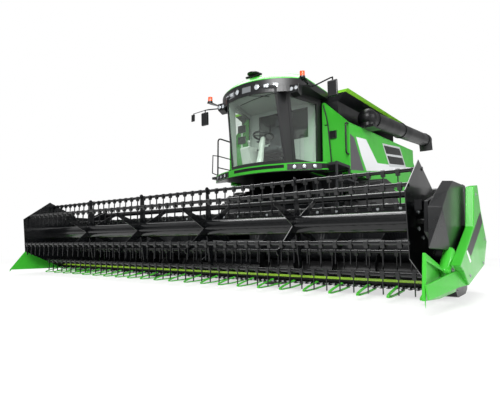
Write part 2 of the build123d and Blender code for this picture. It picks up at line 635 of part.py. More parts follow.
def cab_prism(inset, z_from, z_to, mode):
    """The cab's outer form, drawn in by inset: side planes, back plane and the leaning windscreen."""
    half = cab_half - inset
    front = screen_head_aft - 300
    taper = (cab_half - screen_half) / (cab_rear - screen_foot_aft)
    with BuildPart(mode=Mode.PRIVATE) as prism:
        with BuildSketch(deck_plane(z_from)) as plan:
            near = half - taper * (cab_rear - front)
            Polygon((-half, cab_rear - inset), (half, cab_rear - inset), (near, front), (-near, front), align=None)
        extrude(plan.sketch, amount=z_to - z_from)
        lean = Vector(0, screen_head_aft - screen_foot_aft, cab_top - cab_floor)
        with BuildSketch(deck_plane(cab_floor)) as screen:
            with BuildLine():
                foot = screen_foot_aft + inset
                bow = ThreePointArc((-cab_half, foot + 100), (0, foot - screen_bulge), (cab_half, foot + 100))
                Polyline(bow @ 1, (cab_half, cab_rear + 400), (-cab_half, cab_rear + 400), bow @ 0)
            make_face()
        sheared = extrude(screen.sketch, amount=lean.length, dir=lean, mode=Mode.PRIVATE)
        add(sheared, mode=Mode.INTERSECT)
    add(prism.part, mode=mode)


door_rear = 2979
door_hinge_x = cab_half - (cab_half - screen_half) / (cab_rear - screen_foot_aft) * (cab_rear - door_rear)
side_window = [(2290, 2120), (2180, 3330), (2960, 3330), (2960, 2120)]
door_outline = [(2270, 2050), (2140, 3370), (door_rear + panel_gap, 3370), (door_rear + panel_gap, 2050)]
with BuildPart() as cab_frame:
    cab_prism(0, cab_floor, cab_top, Mode.ADD)
    cab_prism(cab_wall, cab_floor + 20, cab_top, Mode.SUBTRACT)
    with BuildSketch(Plane(origin=(0, reel_y + 1500, 0), x_dir=(1, 0, 0), z_dir=(0, -1, 0))) as front_window:
        Polygon((-590, 2080), (-540, 3370), (540, 3370), (590, 2080), align=None)
    extrude(front_window.sketch, amount=-900, mode=Mode.SUBTRACT)
    slab(side_window, -cab_half - 50, -400, Mode.SUBTRACT)
    slab(door_outline, 400, cab_half + 50, Mode.SUBTRACT)
    block(-600, 600, cab_rear - 200, cab_rear + 10, 2700, 3330, Mode.SUBTRACT)
    # hinge leaves behind the door
    for z in (2160, 2700, 3240):
        block(door_hinge_x - 40, door_hinge_x - 4, door_rear + seat_gap, door_rear + panel_gap + 1, z, z + 70)
save(cab_frame, "cab_frame")

with BuildPart() as cab_glass:
    cab_prism(20, cab_floor + 20, cab_top, Mode.ADD)
    cab_prism(20 + glass, cab_floor + 19, cab_top + 1, Mode.SUBTRACT)
    with BuildPart(mode=Mode.PRIVATE) as openings:
        extrude(front_window.sketch, amount=-900)
        slab(side_window, -cab_half - 50, -400)
        block(-600, 600, cab_rear - 200, cab_rear + 10, 2700, 3330)
    add(openings.part, mode=Mode.INTERSECT)
save(cab_glass, "cab_glass")

with BuildPart() as door_frame:
    cab_prism(0, cab_floor, cab_top, Mode.ADD)
    cab_prism(cab_wall, cab_floor - 1, cab_top + 1, Mode.SUBTRACT)
    with BuildPart(mode=Mode.PRIVATE) as leaf:
        slab([(2276, 2056), (2147, 3364), (door_rear, 3364), (door_rear, 2056)], 400, cab_half + 50)
    add(leaf.part, mode=Mode.INTERSECT)
    door_window = [(2340, 2130), (2220, 3300), (2920, 3300), (2920, 2130)]
    slab(door_window, 400, cab_half + 50, Mode.SUBTRACT)
save(door_frame, "door_frame")

with BuildPart() as door_glass:
    cab_prism(20, cab_floor, cab_top, Mode.ADD)
    cab_prism(20 + glass, cab_floor - 1, cab_top + 1, Mode.SUBTRACT)
    with BuildPart(mode=Mode.PRIVATE) as pane:
        slab(door_window, 400, cab_half + 50)
    add(pane.part, mode=Mode.INTERSECT)
save(door_glass, "door_glass")

# Roof: a dark visor with lamps, and a domed skin above it
roof_half = 1000
visor_front, visor_corner = 1740, 2250
visor_r = (roof_half**2 + (visor_corner - visor_front) ** 2) / 2 / (visor_corner - visor_front)


def roof_plan(grow):
    """The roof's outline in plan, drawn out by grow."""
    half = roof_half + grow
    with BuildLine() as edge:
        bow = ThreePointArc((-half, visor_corner), (0, visor_front - grow), (half, visor_corner))
        Polyline(bow @ 1, (half, cab_rear + 50), (-half, cab_rear + 50), bow @ 0)
    make_face(edge.edges())


with BuildPart() as roof_visor:
    with BuildSketch(deck_plane(cab_top)) as plan:
        roof_plan(0)
    extrude(plan.sketch, amount=130)
save(roof_visor, "roof_visor")

with BuildPart() as cab_roof:
    with BuildSketch(deck_plane(cab_top + 130)) as low:
        roof_plan(20)
    with BuildSketch(deck_plane(roof_top - 90)) as mid:
        roof_plan(-90)
    with BuildSketch(deck_plane(roof_top)) as high:
        roof_plan(-420)
    loft([low.sketch, mid.sketch], ruled=True)
    loft([mid.sketch, high.sketch], ruled=True)
save(cab_roof, "cab_roof")

# Lamps, beacons and antenna
with BuildPart() as lamps:
    for angle in (-40, -26, 26, 40):
        with Locations(Location((0, reel_y + visor_front + visor_r, cab_top + 65), (0, 0, angle))):
            with Locations((0, -visor_r, 0)):
                Box(170, 40, 90, align=(Align.CENTER, Align.MAX, Align.CENTER))
save(lamps, "work_lamps")

with BuildPart() as beacons:
    with BuildSketch(deck_plane(cab_top + 20)) as brackets:
        Polygon((roof_half, 2260), (roof_half, 2390), (1120, 2010), (1120, 1890), (1030, 1890), (1030, 2100), align=None)
        mirror(about=Plane.YZ)
    extrude(brackets.sketch, amount=14)
    for x in (-1075, 1075):
        rod((x, 1940, cab_top + 34), (x, 1940, cab_top + 60), 52)
        rod((x, 1940, cab_top + 60), (x, 1940, cab_top + 150), 44)
save(beacons, "beacons")

# Seat, column and console
with BuildPart() as driver_seat:
    block(-260, 260, 2560, 2800, cab_floor + 20, cab_floor + 260)
    block(-270, 270, 2450, 2900, cab_floor + 260, cab_floor + 380)
    block(-270, 270, 2830, 2960, cab_floor + 380, cab_floor + 1000)
save(driver_seat, "driver_seat")

with BuildPart() as cab_controls:
    rod((0, 2180, cab_floor + 20), (0, 2180, cab_floor + 50), 80)
    rod((0, 2180, cab_floor + 42), (0, 2300, cab_floor + 620), 45)
    rod((0, 2300, cab_floor + 620), (0, 2306, cab_floor + 650), 200)
    block(-560, -300, 2350, 2850, cab_floor + 20, cab_floor + 480)
save(cab_controls, "cab_controls")

# Platform and ladder
with BuildPart() as platform:
    both_blocks(deck_half, body_half, 2440, 3040, cab_floor - 50, cab_floor)
    for aft in (2420, 2960):
        block(body_half, body_half + 30, aft - 20, aft + 20, 480, cab_floor)
    block(body_half, body_half + 30, 2400, 2980, cab_floor - 50, cab_floor)
    for step in range(5):
        z = 500 + step * 290
        block(body_half - 10, body_half + 200, 2440, 2940, z, z + 30)
save(platform, "platform")

with BuildPart() as handrails:
    rail([(1430, 3040, 2250), (1430, 2930, 2250), (1430, 2930, 2840), (1430, 3040, 2840)], 16, 50)
    rail([(-1270, 2420, cab_floor), (-1270, 2420, 2840), (-1270, 3040, 2840)], 16, 80)
save(handrails, "handrails")

with BuildPart() as mirrors:
    for side in (-1, 1):
        rail([(side * roof_half, 2330, 3480), (side * 1100, 2330, 3480), (side * 1500, 1900, 3480),
              (side * 1500, 1900, 3390)], 14, 40)
        x_from, x_to = sorted((side * 1400, side * 1600))
        block(x_from, x_to, 1880, 1920, 2960, 3400)
save(mirrors, "mirrors")
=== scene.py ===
from math import cos, pi, radians, sin

import bmesh
import bpy
from mathutils import Matrix, Vector


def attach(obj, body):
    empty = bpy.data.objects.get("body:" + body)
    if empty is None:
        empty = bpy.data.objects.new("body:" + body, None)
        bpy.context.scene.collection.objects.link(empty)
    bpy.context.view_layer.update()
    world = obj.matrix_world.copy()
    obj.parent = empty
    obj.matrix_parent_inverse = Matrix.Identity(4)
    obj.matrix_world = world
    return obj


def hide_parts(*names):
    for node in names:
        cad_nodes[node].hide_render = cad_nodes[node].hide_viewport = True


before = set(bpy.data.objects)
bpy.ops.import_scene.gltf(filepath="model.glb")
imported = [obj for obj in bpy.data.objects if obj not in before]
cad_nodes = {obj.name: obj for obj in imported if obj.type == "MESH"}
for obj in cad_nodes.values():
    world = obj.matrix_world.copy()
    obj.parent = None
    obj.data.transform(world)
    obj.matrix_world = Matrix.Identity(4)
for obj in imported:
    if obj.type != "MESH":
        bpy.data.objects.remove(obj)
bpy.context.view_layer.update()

# Camera: knee high beyond the header's left end, looking across the reel and a little up at the cab.
# The photograph's frame is 500 by 403, and its focal length is 411 of those pixels.
photo_wide, photo_focal = 500, 411


def add_object(name, data):
    """A new object of the scene with its data."""
    made = bpy.data.objects.new(name, data)
    bpy.context.scene.collection.objects.link(made)
    return made


camera_data = bpy.data.cameras.new("camera")
camera_data.sensor_width = 36
camera_data.lens = camera_data.sensor_width * photo_focal / photo_wide
camera_data.clip_end = 200
camera = add_object("camera", camera_data)
camera.location = (4.442, -8.426, 0.55)
camera.rotation_euler = (radians(96.04), 0, radians(36.43))
bpy.context.scene.camera = camera
bpy.context.scene.view_settings.view_transform = "Standard"

# Studio: a pale floor that keeps the machine's shadow and fades to white, a white surround that
# metal and glass also show, and three large soft lamps.
floor_half, fade_near, fade_far = 60, 5.0, 13.0


def linear(code):
    """A colour written as sRGB hex, turned to linear with full opacity."""
    parts = [int(code[place:place + 2], 16) / 255 for place in (1, 3, 5)]
    return tuple(v / 12.92 if v <= 0.04045 else ((v + 0.055) / 1.055) ** 2.4 for v in parts) + (1,)


def node(tree, kind, sockets=None, **settings):
    """Adds a shader node. A socket takes a value, another node's output, or a node for its first output."""
    made = tree.nodes.new("ShaderNode" + kind)
    for name, value in settings.items():
        setattr(made, name, value)
    for name, value in (sockets or {}).items():
        if isinstance(value, bpy.types.Node):
            value = value.outputs[0]
        if isinstance(value, bpy.types.NodeSocket):
            tree.links.new(value, made.inputs[name])
        else:
            made.inputs[name].default_value = value
    return made


def start_material(name):
    """An empty node material and its tree."""
    made = bpy.data.materials.new(name)
    made.use_nodes = True
    made.node_tree.nodes.clear()
    return made, made.node_tree


floor_mesh = bpy.data.meshes.new("studio_floor")
floor_mesh.from_pydata([(floor_half * a, floor_half * b, 0) for a, b in ((-1, -1), (1, -1), (1, 1), (-1, 1))], [],
                       [(0, 1, 2, 3)])
studio_floor = add_object("studio_floor", floor_mesh)
studio_floor.location.z = -0.002
floor_paint, tree = start_material("matt_white_floor_paint")
path = node(tree, "LightPath").outputs
seen = node(tree, "Math", {0: path["Is Camera Ray"], 1: path["Is Glossy Ray"]}, operation="MAXIMUM")
seen = node(tree, "Math", {0: seen, 1: path["Is Transmission Ray"]}, operation="MAXIMUM")
place = node(tree, "TexCoord").outputs["Object"]
far = node(tree, "VectorMath", {0: place}, operation="LENGTH").outputs["Value"]
fade = node(tree, "MapRange", {"Value": far, "From Min": fade_near, "From Max": fade_far, "To Min": 0.66})
share = node(tree, "Math", {0: seen, 1: fade}, operation="MULTIPLY")
matt = node(tree, "BsdfDiffuse", {"Color": linear("#F4F4F3")})
glow = node(tree, "Emission", {"Color": (1, 1, 1, 1), "Strength": 1})
node(tree, "OutputMaterial", {"Surface": node(tree, "MixShader", {0: share, 1: matt, 2: glow})})
floor_mesh.materials.append(floor_paint)

world = bpy.data.worlds.new("white_surround")
world.use_nodes = True
bpy.context.scene.world = world
tree = world.node_tree
tree.nodes.clear()
glossy_strength, ambient_strength = 0.24, 0.38
path = node(tree, "LightPath").outputs
seen = node(tree, "Math", {0: path["Is Camera Ray"], 1: path["Is Transmission Ray"]}, operation="MAXIMUM")
glossy = node(tree, "Math", {0: path["Is Glossy Ray"], 1: glossy_strength}, operation="MULTIPLY")
seen = node(tree, "Math", {0: seen, 1: glossy}, operation="MAXIMUM")
ambient = node(tree, "Math", {0: seen, 1: ambient_strength}, operation="MAXIMUM")
node(tree, "OutputWorld", {"Surface": node(tree, "Background", {"Color": (1, 1, 1, 1), "Strength": ambient})})

lamps = [  # name, place, aimed at, size in metres, watts
    ("key_softbox", (5.0, -12.0, 8.5), (0.5, -1.5, 1.5), 6.0, 1700),
    ("top_softbox", (-2.5, 0.5, 11.0), (0, 0, 1), 9.0, 1300),
    ("side_softbox", (13.0, -1.0, 6.0), (1, 1, 1.5), 6.0, 800),
]
for name, place, aim, size, watts in lamps:
    lamp_data = bpy.data.lights.new(name, "AREA")
    lamp_data.shape = "SQUARE"
    lamp_data.size = size
    lamp_data.energy = watts
    lamp = add_object(name, lamp_data)
    lamp.location = place
    lamp.rotation_euler = (Vector(aim) - Vector(place)).to_track_quat("-Z", "Y").to_euler()

# Header trough: folded and welded sheet and box section, sprayed in satin black enamel, with hexagon bolts
# along the end walls and the back wall's beam. Here and below, a place is given as in the part's source:
# x, the distance behind the reel's axis (aft), and height.
reel_aft, end_face = -4.266, 3.612


def at(x, aft, z):
    """A point of the row frame from x, distance behind the reel's axis, and height."""
    return Vector((x, reel_aft + aft, z))


def zoned(tree, place, colour, zones):
    """A colour with each zone's own colour laid over it where the zone's mask is 1."""
    for zone_code, mask in zones:
        sockets = {0: mask(tree, place), 6: colour, 7: linear(zone_code)}
        colour = node(tree, "Mix", sockets, data_type="RGBA").outputs[2]
    return colour


def enamel(name, code, roughness, coat, peel_mm, mottle, zones=()):
    """Sprayed and baked enamel: an even coat with faint orange peel and a slow change of tone.
    Each zone is a colour and a function that gives the mask of where it is sprayed."""
    made, tree = start_material(name)
    place = node(tree, "TexCoord").outputs["Object"]
    tone = node(tree, "TexNoise", {"Vector": place, "Scale": 2.2, "Detail": 3})
    shade = node(tree, "MapRange", {"Value": tone, "From Min": 0.3, "From Max": 0.7, "To Min": 1 - mottle,
                                    "To Max": 1 + mottle})
    colour = zoned(tree, place, node(tree, "HueSaturation", {"Color": linear(code), "Value": shade}), zones)
    peel = node(tree, "TexNoise", {"Vector": place, "Scale": 1000 / peel_mm, "Detail": 2})
    relief = node(tree, "Bump", {"Height": peel, "Strength": 0.06, "Distance": 0.002})
    haze = node(tree, "MapRange", {"Value": tone, "From Min": 0.35, "From Max": 0.65, "To Min": roughness * 0.85,
                                   "To Max": roughness * 1.2})
    paint = node(tree, "BsdfPrincipled", {"Base Color": colour, "Roughness": haze, "Normal": relief,
                                          "Coat Weight": coat, "Coat Roughness": 0.12, "Specular IOR Level": 0.22})
    node(tree, "OutputMaterial", {"Surface": paint})
    return made


def coat_nodes(material, *names):
    """Gives CAD nodes a finish in place of the frame's own."""
    for name in names:
        for place in cad_nodes[name].material_slots:
            place.material = material


def prism(mesh, outline, depth):
    """Adds a straight-sided plate: an outline of points and the vector that it is thick along."""
    low = [mesh.verts.new(point) for point in outline]
    high = [mesh.verts.new(point + depth) for point in outline]
    mesh.faces.new(low)
    mesh.faces.new(high[::-1])
    count = len(low)
    for number in range(count):
        following = (number + 1) % count
        mesh.faces.new((low[number], low[following], high[following], high[number]))


def bolt_heads(mesh, places, outward, across=0.022, tall=0.010):
    """Adds hexagon bolt heads with washers at places, standing along outward."""
    outward = Vector(outward).normalized()
    sideways = outward.orthogonal().normalized()
    up = outward.cross(sideways)
    for place in places:
        for sides, radius, start, end in ((12, across * 0.95, 0, 0.003), (6, across * 0.58, 0.002, tall)):
            turns = [2 * pi * n / sides for n in range(sides)]
            ring = [place + outward * start + (sideways * cos(turn) + up * sin(turn)) * radius for turn in turns]
            prism(mesh, ring, outward * (end - start))


def fit(name, body, mesh, material, slot, smooth=False, edge=0.0):
    """Puts a finished mesh on its body as a named piece; edge rounds its sharp edges by that much."""
    shape = bpy.data.meshes.new(name)
    bmesh.ops.recalc_face_normals(mesh, faces=mesh.faces)
    mesh.to_mesh(shape)
    mesh.free()
    for face in shape.polygons:
        face.use_smooth = smooth
    shape.materials.append(material)
    made = add_object(name, shape)
    if edge:
        rounding = made.modifiers.new("rounded_edges", "BEVEL")
        rounding.width, rounding.segments, rounding.limit_method = edge, 2, "ANGLE"
        rounding.angle_limit = radians(25)
    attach(made, body)
    return made


black_enamel = enamel("satin_black_enamel", "#0D0E10", 0.36, 0.15, 9, 0.06)
coat_nodes(black_enamel, "header_frame", "feeder_house")
zinc_plate = enamel("bright_zinc_plate", "#8E9294", 0.35, 0.0, 6, 0.08)
heads = bmesh.new()
left_bolts = (0.42, 0.2), (0.6, 0.2), (1.2, 0.2), (1.34, 0.45), (1.34, 0.7)
right_bolts = (0.05, 0.5), (0.2, 0.9), (0.3, 1.05)
for side, spots in ((1, left_bolts), (-1, right_bolts)):
    bolt_heads(heads, [at(side * (end_face + 0.0005), aft, z) for aft, z in spots], (side, 0, 0))
bolt_heads(heads, [at(-3.45 + number * 0.3, 1.2995, 1.03) for number in range(24)], (0, -1, 0))
fit("header_bolts", "header", heads, zinc_plate, "bare_steel")

# Wear strip: a narrow strip of green enamelled sheet that covers the trough's front lip, rubbed
# to a yellower tone by the straw.
olive_enamel = enamel("rubbed_olive_green_enamel", "#82AE26", 0.45, 0.1, 8, 0.2)
strip, strip_reach = bmesh.new(), 3.58
prism(strip, [at(-strip_reach, aft, z) for aft, z in ((0.338, 0.155), (0.398, 0.174), (0.398, 0.177), (0.338, 0.158))],
      Vector((2 * strip_reach, 0, 0)))
fit("lip_wear_strip", "header", strip, olive_enamel, "green_paint")

# Cutter bar: forged double fingers in black enamel on a rolled bar. The crop has worn the tips bright,
# so the finish turns to bare steel ahead of the bar.
bare_ahead_of = 0.285


def past(direction, limit):
    """A mask that is 1 where a place lies past a limit along a direction, else 0."""
    def mask(tree, place):
        along = node(tree, "VectorMath", {0: place, 1: direction}, operation="DOT_PRODUCT").outputs["Value"]
        return node(tree, "Math", {0: along, 1: limit}, operation="GREATER_THAN")
    return mask


finger_enamel = enamel("worn_black_finger_enamel", "#18191A", 0.42, 0.1, 6, 0.15, zones=[
    ("#8D8F90", past((0, -1, 0), -(reel_aft + bare_ahead_of)))])
coat_nodes(finger_enamel, "cutter_bar")

# Knife and cylinder rods: ground steel, bright along the line of the grinding, which is drawn as a fine
# noise in its roughness. The rods are hard chromed and the knife sections are bare.
ground_steel, tree = start_material("ground_steel")
place = node(tree, "TexCoord").outputs["Object"]
grind = node(tree, "TexNoise", {"Vector": place, "Scale": 260, "Detail": 2})
streak = node(tree, "MapRange", {"Value": grind, "To Min": 0.18, "To Max": 0.38})
steel = node(tree, "BsdfPrincipled", {"Base Color": linear("#C9CACB"), "Metallic": 1, "Roughness": streak})
node(tree, "OutputMaterial", {"Surface": steel})
coat_nodes(ground_steel, "knife", "lift_rods")

# Intake auger: a welded tube with two helical flights of rolled sheet that carry the crop inwards to
# the feeder's mouth, and drawn-in fingers there, all in satin black enamel.
auger_aft, auger_z, auger_reach, auger_tube = 0.95, 0.48, 0.33, 0.15
auger_half, flight_start, flight_length, flight_lead, steps_per_turn = 3.57, 0.67, 2.84, 0.56, 32
flight_section = ((-0.004, auger_tube - 0.01), (-0.003, auger_reach), (0.003, auger_reach), (0.004, auger_tube - 0.01))


def polar(x, aft, z, radius, angle):
    """A point at a radius and at an angle back from straight up, about an axle across the machine."""
    return at(x, aft + radius * sin(angle), z + radius * cos(angle))


def skin(mesh, outlines, ring=False):
    """Adds a form that runs through outlines of equal count; a ring closes on itself, others get end faces."""
    rows = [[mesh.verts.new(point) for point in outline] for outline in outlines]
    if not ring:
        mesh.faces.new(rows[0])
        mesh.faces.new(rows[-1][::-1])
    for here, there in zip(rows, rows[1:] + (rows[:1] if ring else [])):
        for number in range(len(here)):
            following = (number + 1) % len(here)
            mesh.faces.new((here[number], here[following], there[following], there[number]))


def revolve(mesh, profile, centre, axis, segments=48, ring=False):
    """Adds a form turned about an axis through centre, from (distance along it, radius) points."""
    axis = Vector(axis).normalized()
    sideways = axis.orthogonal().normalized()
    up = axis.cross(sideways)
    turns = [sideways * cos(2 * pi * n / segments) + up * sin(2 * pi * n / segments) for n in range(segments)]
    skin(mesh, [[centre + axis * along + turn * radius for turn in turns] for along, radius in profile], ring)


def rod(mesh, start, end, radius, segments=16):
    """Adds a round bar between two points."""
    revolve(mesh, [(0, radius), ((end - start).length, radius)], start, end - start, segments)


auger_enamel = enamel("rubbed_black_auger_enamel", "#141517", 0.4, 0.1, 9, 0.15)
auger = bmesh.new()
revolve(auger, [(0, auger_tube), (2 * auger_half, auger_tube)], at(-auger_half, auger_aft, auger_z), (1, 0, 0), 64)
for side in (-1, 1):
    rod(auger, at(side * 3.569, auger_aft, auger_z), at(side * 3.61, auger_aft, auger_z), 0.03)
    rows = []
    for step in range(int(flight_length / flight_lead * steps_per_turn) + 1):
        angle, x = side * step * 2 * pi / steps_per_turn, side * (flight_start + step * flight_lead / steps_per_turn)
        rows.append([polar(x + wide, auger_aft, auger_z, r, angle) for wide, r in flight_section])
    skin(auger, rows)
for number in range(10):
    x = (number - 4.5) * 0.13
    tip = polar(x, auger_aft, auger_z, auger_reach, radians(number * 150))
    rod(auger, at(x, auger_aft, auger_z), tip, 0.008, 10)
auger_piece = fit("intake_auger_flights", "intake_auger", auger, auger_enamel, "black_paint")
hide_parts("intake_auger")

# Dividers: pressed and bent steel in gloss leaf green enamel. Each has a raked blade ahead of the end
# wall with a folded crest along its top; the left one also has a round deflector and a low wing.
green_code, black_code = "#37A72B", "#0D0E10"
green_enamel = enamel("gloss_leaf_green_enamel", green_code, 0.34, 0.3, 10, 0.03)
plate = 0.022


def slab(mesh, outline, x_from, x_to):
    """Adds a side outline of (aft, z) corners, drawn across the machine."""
    prism(mesh, [at(x_from, aft, z) for aft, z in outline], Vector((x_to - x_from, 0, 0)))


noses = bmesh.new()
blade = [(-0.868, 0.132), (-0.79, 0.49), (-0.33, 0.38), (0.06, 0.33), (0.33, 0.30), (0.33, 0.096), (-0.4, 0.10)]
crest = (-0.868, 0.132, 0.003), (-0.79, 0.485, 0.006), (-0.33, 0.375, 0.04), (0.06, 0.325, 0.055)  # aft, z, width
inner = end_face + plate - 0.001
slab(noses, blade, end_face, end_face + plate)
skin(noses, [[at(inner, aft, z - 0.03), at(inner, aft, z), at(inner + 0.002 + wide, aft, z - 0.04),
              at(inner + 0.002 + wide, aft, z - 0.06)] for aft, z, wide in crest])
wing = (-0.86, 3.664, 0.14, 0.25), (-0.2, 3.76, 0.19, 0.33), (0.02, 3.786, 0.19, 0.335)  # aft, x, foot, top
skin(noses, [[at(x - 0.012, aft, foot), at(x - 0.026, aft, top), at(x - 0.014, aft, top), at(x, aft, foot)]
             for aft, x, foot, top in wing])
wedge = [(-0.64, 0.10), (-0.52, 0.23), (-0.377, 0.445), (-0.285, 0.505), (-0.103, 0.505), (0.11, 0.33), (0.33, 0.30),
         (0.33, 0.095)]
fold = (-0.64, 0.102, 0.003), (-0.377, 0.443, 0.03), (-0.285, 0.503, 0.05), (-0.103, 0.503, 0.06), (0.11, 0.328, 0.06)
slab(noses, wedge, -end_face - plate, -end_face)
skin(noses, [[at(-inner, aft, z - 0.02), at(-inner, aft, z), at(-inner - wide, aft, z - 0.045)]
             for aft, z, wide in fold])
divider_piece = fit("divider_noses", "header", noses, green_enamel, "green_paint", edge=0.003)
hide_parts("dividers")

# Crop lifters: spring steel strip in a brighter green enamel, bent into a long loop. One reaches out
# ahead of every fourth guard.
lifter_enamel = enamel("bright_green_lifter_enamel", "#46B82C", 0.32, 0.3, 10, 0.05)
guard_pitch, lifter_every, lifter_reach = 0.0762, 4, 11
strip_half, strip_rise, strip_lap = 0.014, 0.006, 0.002
strip_corners = (-strip_half, -1), (strip_half, -1), (strip_half, 1), (-strip_half, 1)
strips = bmesh.new()
loop = ((0.36, 0.073), (0.12, 0.053), (-0.10, 0.047), (-0.145, 0.05), (-0.15, 0.057), (-0.14, 0.066),
        (-0.06, 0.088), (0.17, 0.130))
for number in range(-lifter_reach, lifter_reach + 1):
    x = (lifter_every * number + 1) * guard_pitch
    for start, end in zip(loop, loop[1:]):
        run = Vector((0, end[0] - start[0], end[1] - start[1])).normalized()
        rise = Vector((0, -run.z, run.y)) * strip_rise
        skin(strips, [[at(x + a, *point) + run * lap + rise * b for a, b in strip_corners]
                      for point, lap in ((start, -strip_lap), (end, strip_lap))])
lifter_piece = fit("crop_lifter_strips", "header", strips, lifter_enamel, "green_paint")
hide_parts("crop_lifters")

# Round deflector: a rolled tube with eased ends, in the dividers' green enamel. It leans between the left
# blade and the drive's cover.
deflector = bmesh.new()
revolve(deflector, [(0, 0.046), (0.02, 0.05), (0.28, 0.05), (0.29, 0.046)], at(end_face + 0.052, -0.33, 0.30),
        (0.014, 0.21, 0.20), 32)
fit("round_deflector", "header", deflector, green_enamel, "green_paint", smooth=True)

# End covers: on the left a black belt guard with a folded front and, outside it, the green cover of the
# drive; on the right a plain black cover. All are folded sheet with rounded edges.
cover_face = 3.8
guard_enamel = enamel("gloss_black_guard_enamel", "#0B0C0E", 0.3, 0.2, 10, 0.04)


def block(mesh, x_from, x_to, aft_from, aft_to, z_from, z_to):
    """Adds a straight bar or box between two corners."""
    slab(mesh, [(aft_from, z_from), (aft_to, z_from), (aft_to, z_to), (aft_from, z_to)], x_from, x_to)


def moulded(name, code, roughness, grain_mm, lift, zones=()):
    """Moulded plastic or rubber: a fine spark-eroded grain that breaks up the gloss."""
    made, tree = start_material(name)
    place = node(tree, "TexCoord").outputs["Object"]
    grain = node(tree, "TexNoise", {"Vector": place, "Scale": 1000 / grain_mm, "Detail": 4})
    relief = node(tree, "Bump", {"Height": grain, "Strength": lift, "Distance": 0.001})
    tone = node(tree, "TexNoise", {"Vector": place, "Scale": 3, "Detail": 2})
    shade = node(tree, "MapRange", {"Value": tone, "To Min": 0.92, "To Max": 1.08})
    colour = zoned(tree, place, node(tree, "HueSaturation", {"Color": linear(code), "Value": shade}), zones)
    plastic = node(tree, "BsdfPrincipled", {"Base Color": colour, "Normal": relief, "Roughness": roughness,
                                            "IOR": 1.53})
    node(tree, "OutputMaterial", {"Surface": plastic})
    return made


guard = bmesh.new()
skin(guard, [[at(x, aft, z) for aft, z in outline] for x, outline in (
    (end_face, ((-0.59, 0.52), (-0.56, 0.87), (-0.33, 0.99), (0.04, 1.16), (0.70, 1.19), (0.70, 0.56), (0.20, 0.5))),
    (3.69, ((-0.13, 0.505), (-0.38, 0.87), (-0.13, 1.04), (0.14, 1.165), (0.70, 1.19), (0.70, 0.62), (0.22, 0.52))))])
block(guard, end_face, end_face + 0.109, 0.76, 1.13, 0.38, 0.76)
slab(guard, [(0.42, 0.2), (0.42, 0.9), (0.62, 1.08), (1.38, 1.08), (1.4, 0.2)], -cover_face, -end_face)
guard_piece = fit("belt_guards", "header", guard, guard_enamel, "black_paint", edge=0.006)
cover_outline = [(0.64, 1.16), (0.89, 1.20), (1.03, 0.94), (1.38, 0.59), (1.08, 0.33), (0.02, 0.19), (-0.20, 0.33),
                 (-0.34, 0.38), (0.48, 0.73)]
cover = bmesh.new()
slab(cover, cover_outline, cover_face - 0.08, cover_face)
cover_piece = fit("drive_cover", "header", cover, green_enamel, "green_paint", edge=0.007)
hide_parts("end_covers")
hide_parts("end_covers")
# Self-adhesive film on the cover: a bare black band with a short white bar below it.
black_film = moulded("matt_black_film", "#0C0D0E", 0.4, 3, 0.05)
white_film = moulded("matt_white_film", "#E4E5E6", 0.4, 3, 0.05)
films = (
    ("cover_black_band", [(0.98, 0.915), (1.11, 0.80), (0.20, 0.445), (0.02, 0.505)], black_film, "black_paint"),
    ("cover_white_bar", [(-0.02, 0.49), (0.02, 0.505), (0.20, 0.40), (0.14, 0.385)], white_film, "green_paint"),
)
for name, outline, material, slot in films:
    film = bmesh.new()
    slab(film, outline, cover_face, cover_face + 0.0012)
    fit(name, "header", film, material, slot)
heads = bmesh.new()
cover_bolts = (0.72, 1.08), (1.22, 0.62), (0.98, 0.36), (0.1, 0.27)
bolt_heads(heads, [at(cover_face, aft, z) for aft, z in cover_bolts], (1, 0, 0), 0.02)
fit("cover_bolts", "header", heads, zinc_plate, "bare_steel")

# Reel: black enamelled centre tube, plate spiders and tined bats, with more gloss than the trough, so
# that the tube shows a long highlight.
reel_enamel = enamel("gloss_black_enamel", "#08090B", 0.22, 0.6, 8, 0.05)
coat_nodes(reel_enamel, "reel", "reel_arms", "reel_carriers", *[f"bat_{number}" for number in range(1, 7)])
# Tine holders: moulded nylon saddles that clamp each tine to its bat.
black_nylon = moulded("black_moulded_nylon", "#141516", 0.45, 4, 0.1)
reel_z, bat_circle, bat_phase, tine_pitch, tine_reach = 0.78, 0.52, radians(-6), 0.1524, 22
holder_half = 0.019
holder_outline = ((-0.026, 0.012), (-0.012, 0.025), (0.012, 0.025), (0.026, 0.012), (0.024, -0.02), (0.012, -0.048),
                  (-0.012, -0.048), (-0.024, -0.02))
for number in range(6):
    angle = bat_phase + number * pi / 3
    aft, z = -bat_circle * sin(angle), reel_z + bat_circle * cos(angle)
    holders = bmesh.new()
    for x in (index * tine_pitch for index in range(-tine_reach, tine_reach + 1)):
        slab(holders, [(aft + a, z + b) for a, b in holder_outline], x - holder_half, x + holder_half)
    fit(f"tine_holders_{number + 1}", f"bat_{number + 1}", holders, black_nylon, "black_paint")
heads = bmesh.new()
hub_x, hub_circle = 3.4345, 0.16
for side in (1, -1):
    bolt_heads(heads, [polar(side * hub_x, 0, reel_z, hub_circle, k * pi / 3) for k in range(6)], (side, 0, 0))
fit("reel_hub_bolts", "reel", heads, zinc_plate, "bare_steel")
# Guard of the reel's drive: a folded black plate on the left carrier.
drive_guard = bmesh.new()
slab(drive_guard, [(-0.46, 0.66), (-0.42, 0.93), (-0.12, 1.0), (0.12, 0.96), (0.06, 0.66), (-0.3, 0.58)],
     3.549, 3.586)
fit("reel_drive_guard", "reel_carriers", drive_guard, guard_enamel, "black_paint", edge=0.005)

# Lift cylinders' barrels: drawn steel tube in the header's black enamel; their rods have the ground
# steel above.
coat_nodes(black_enamel, "lift_barrels")

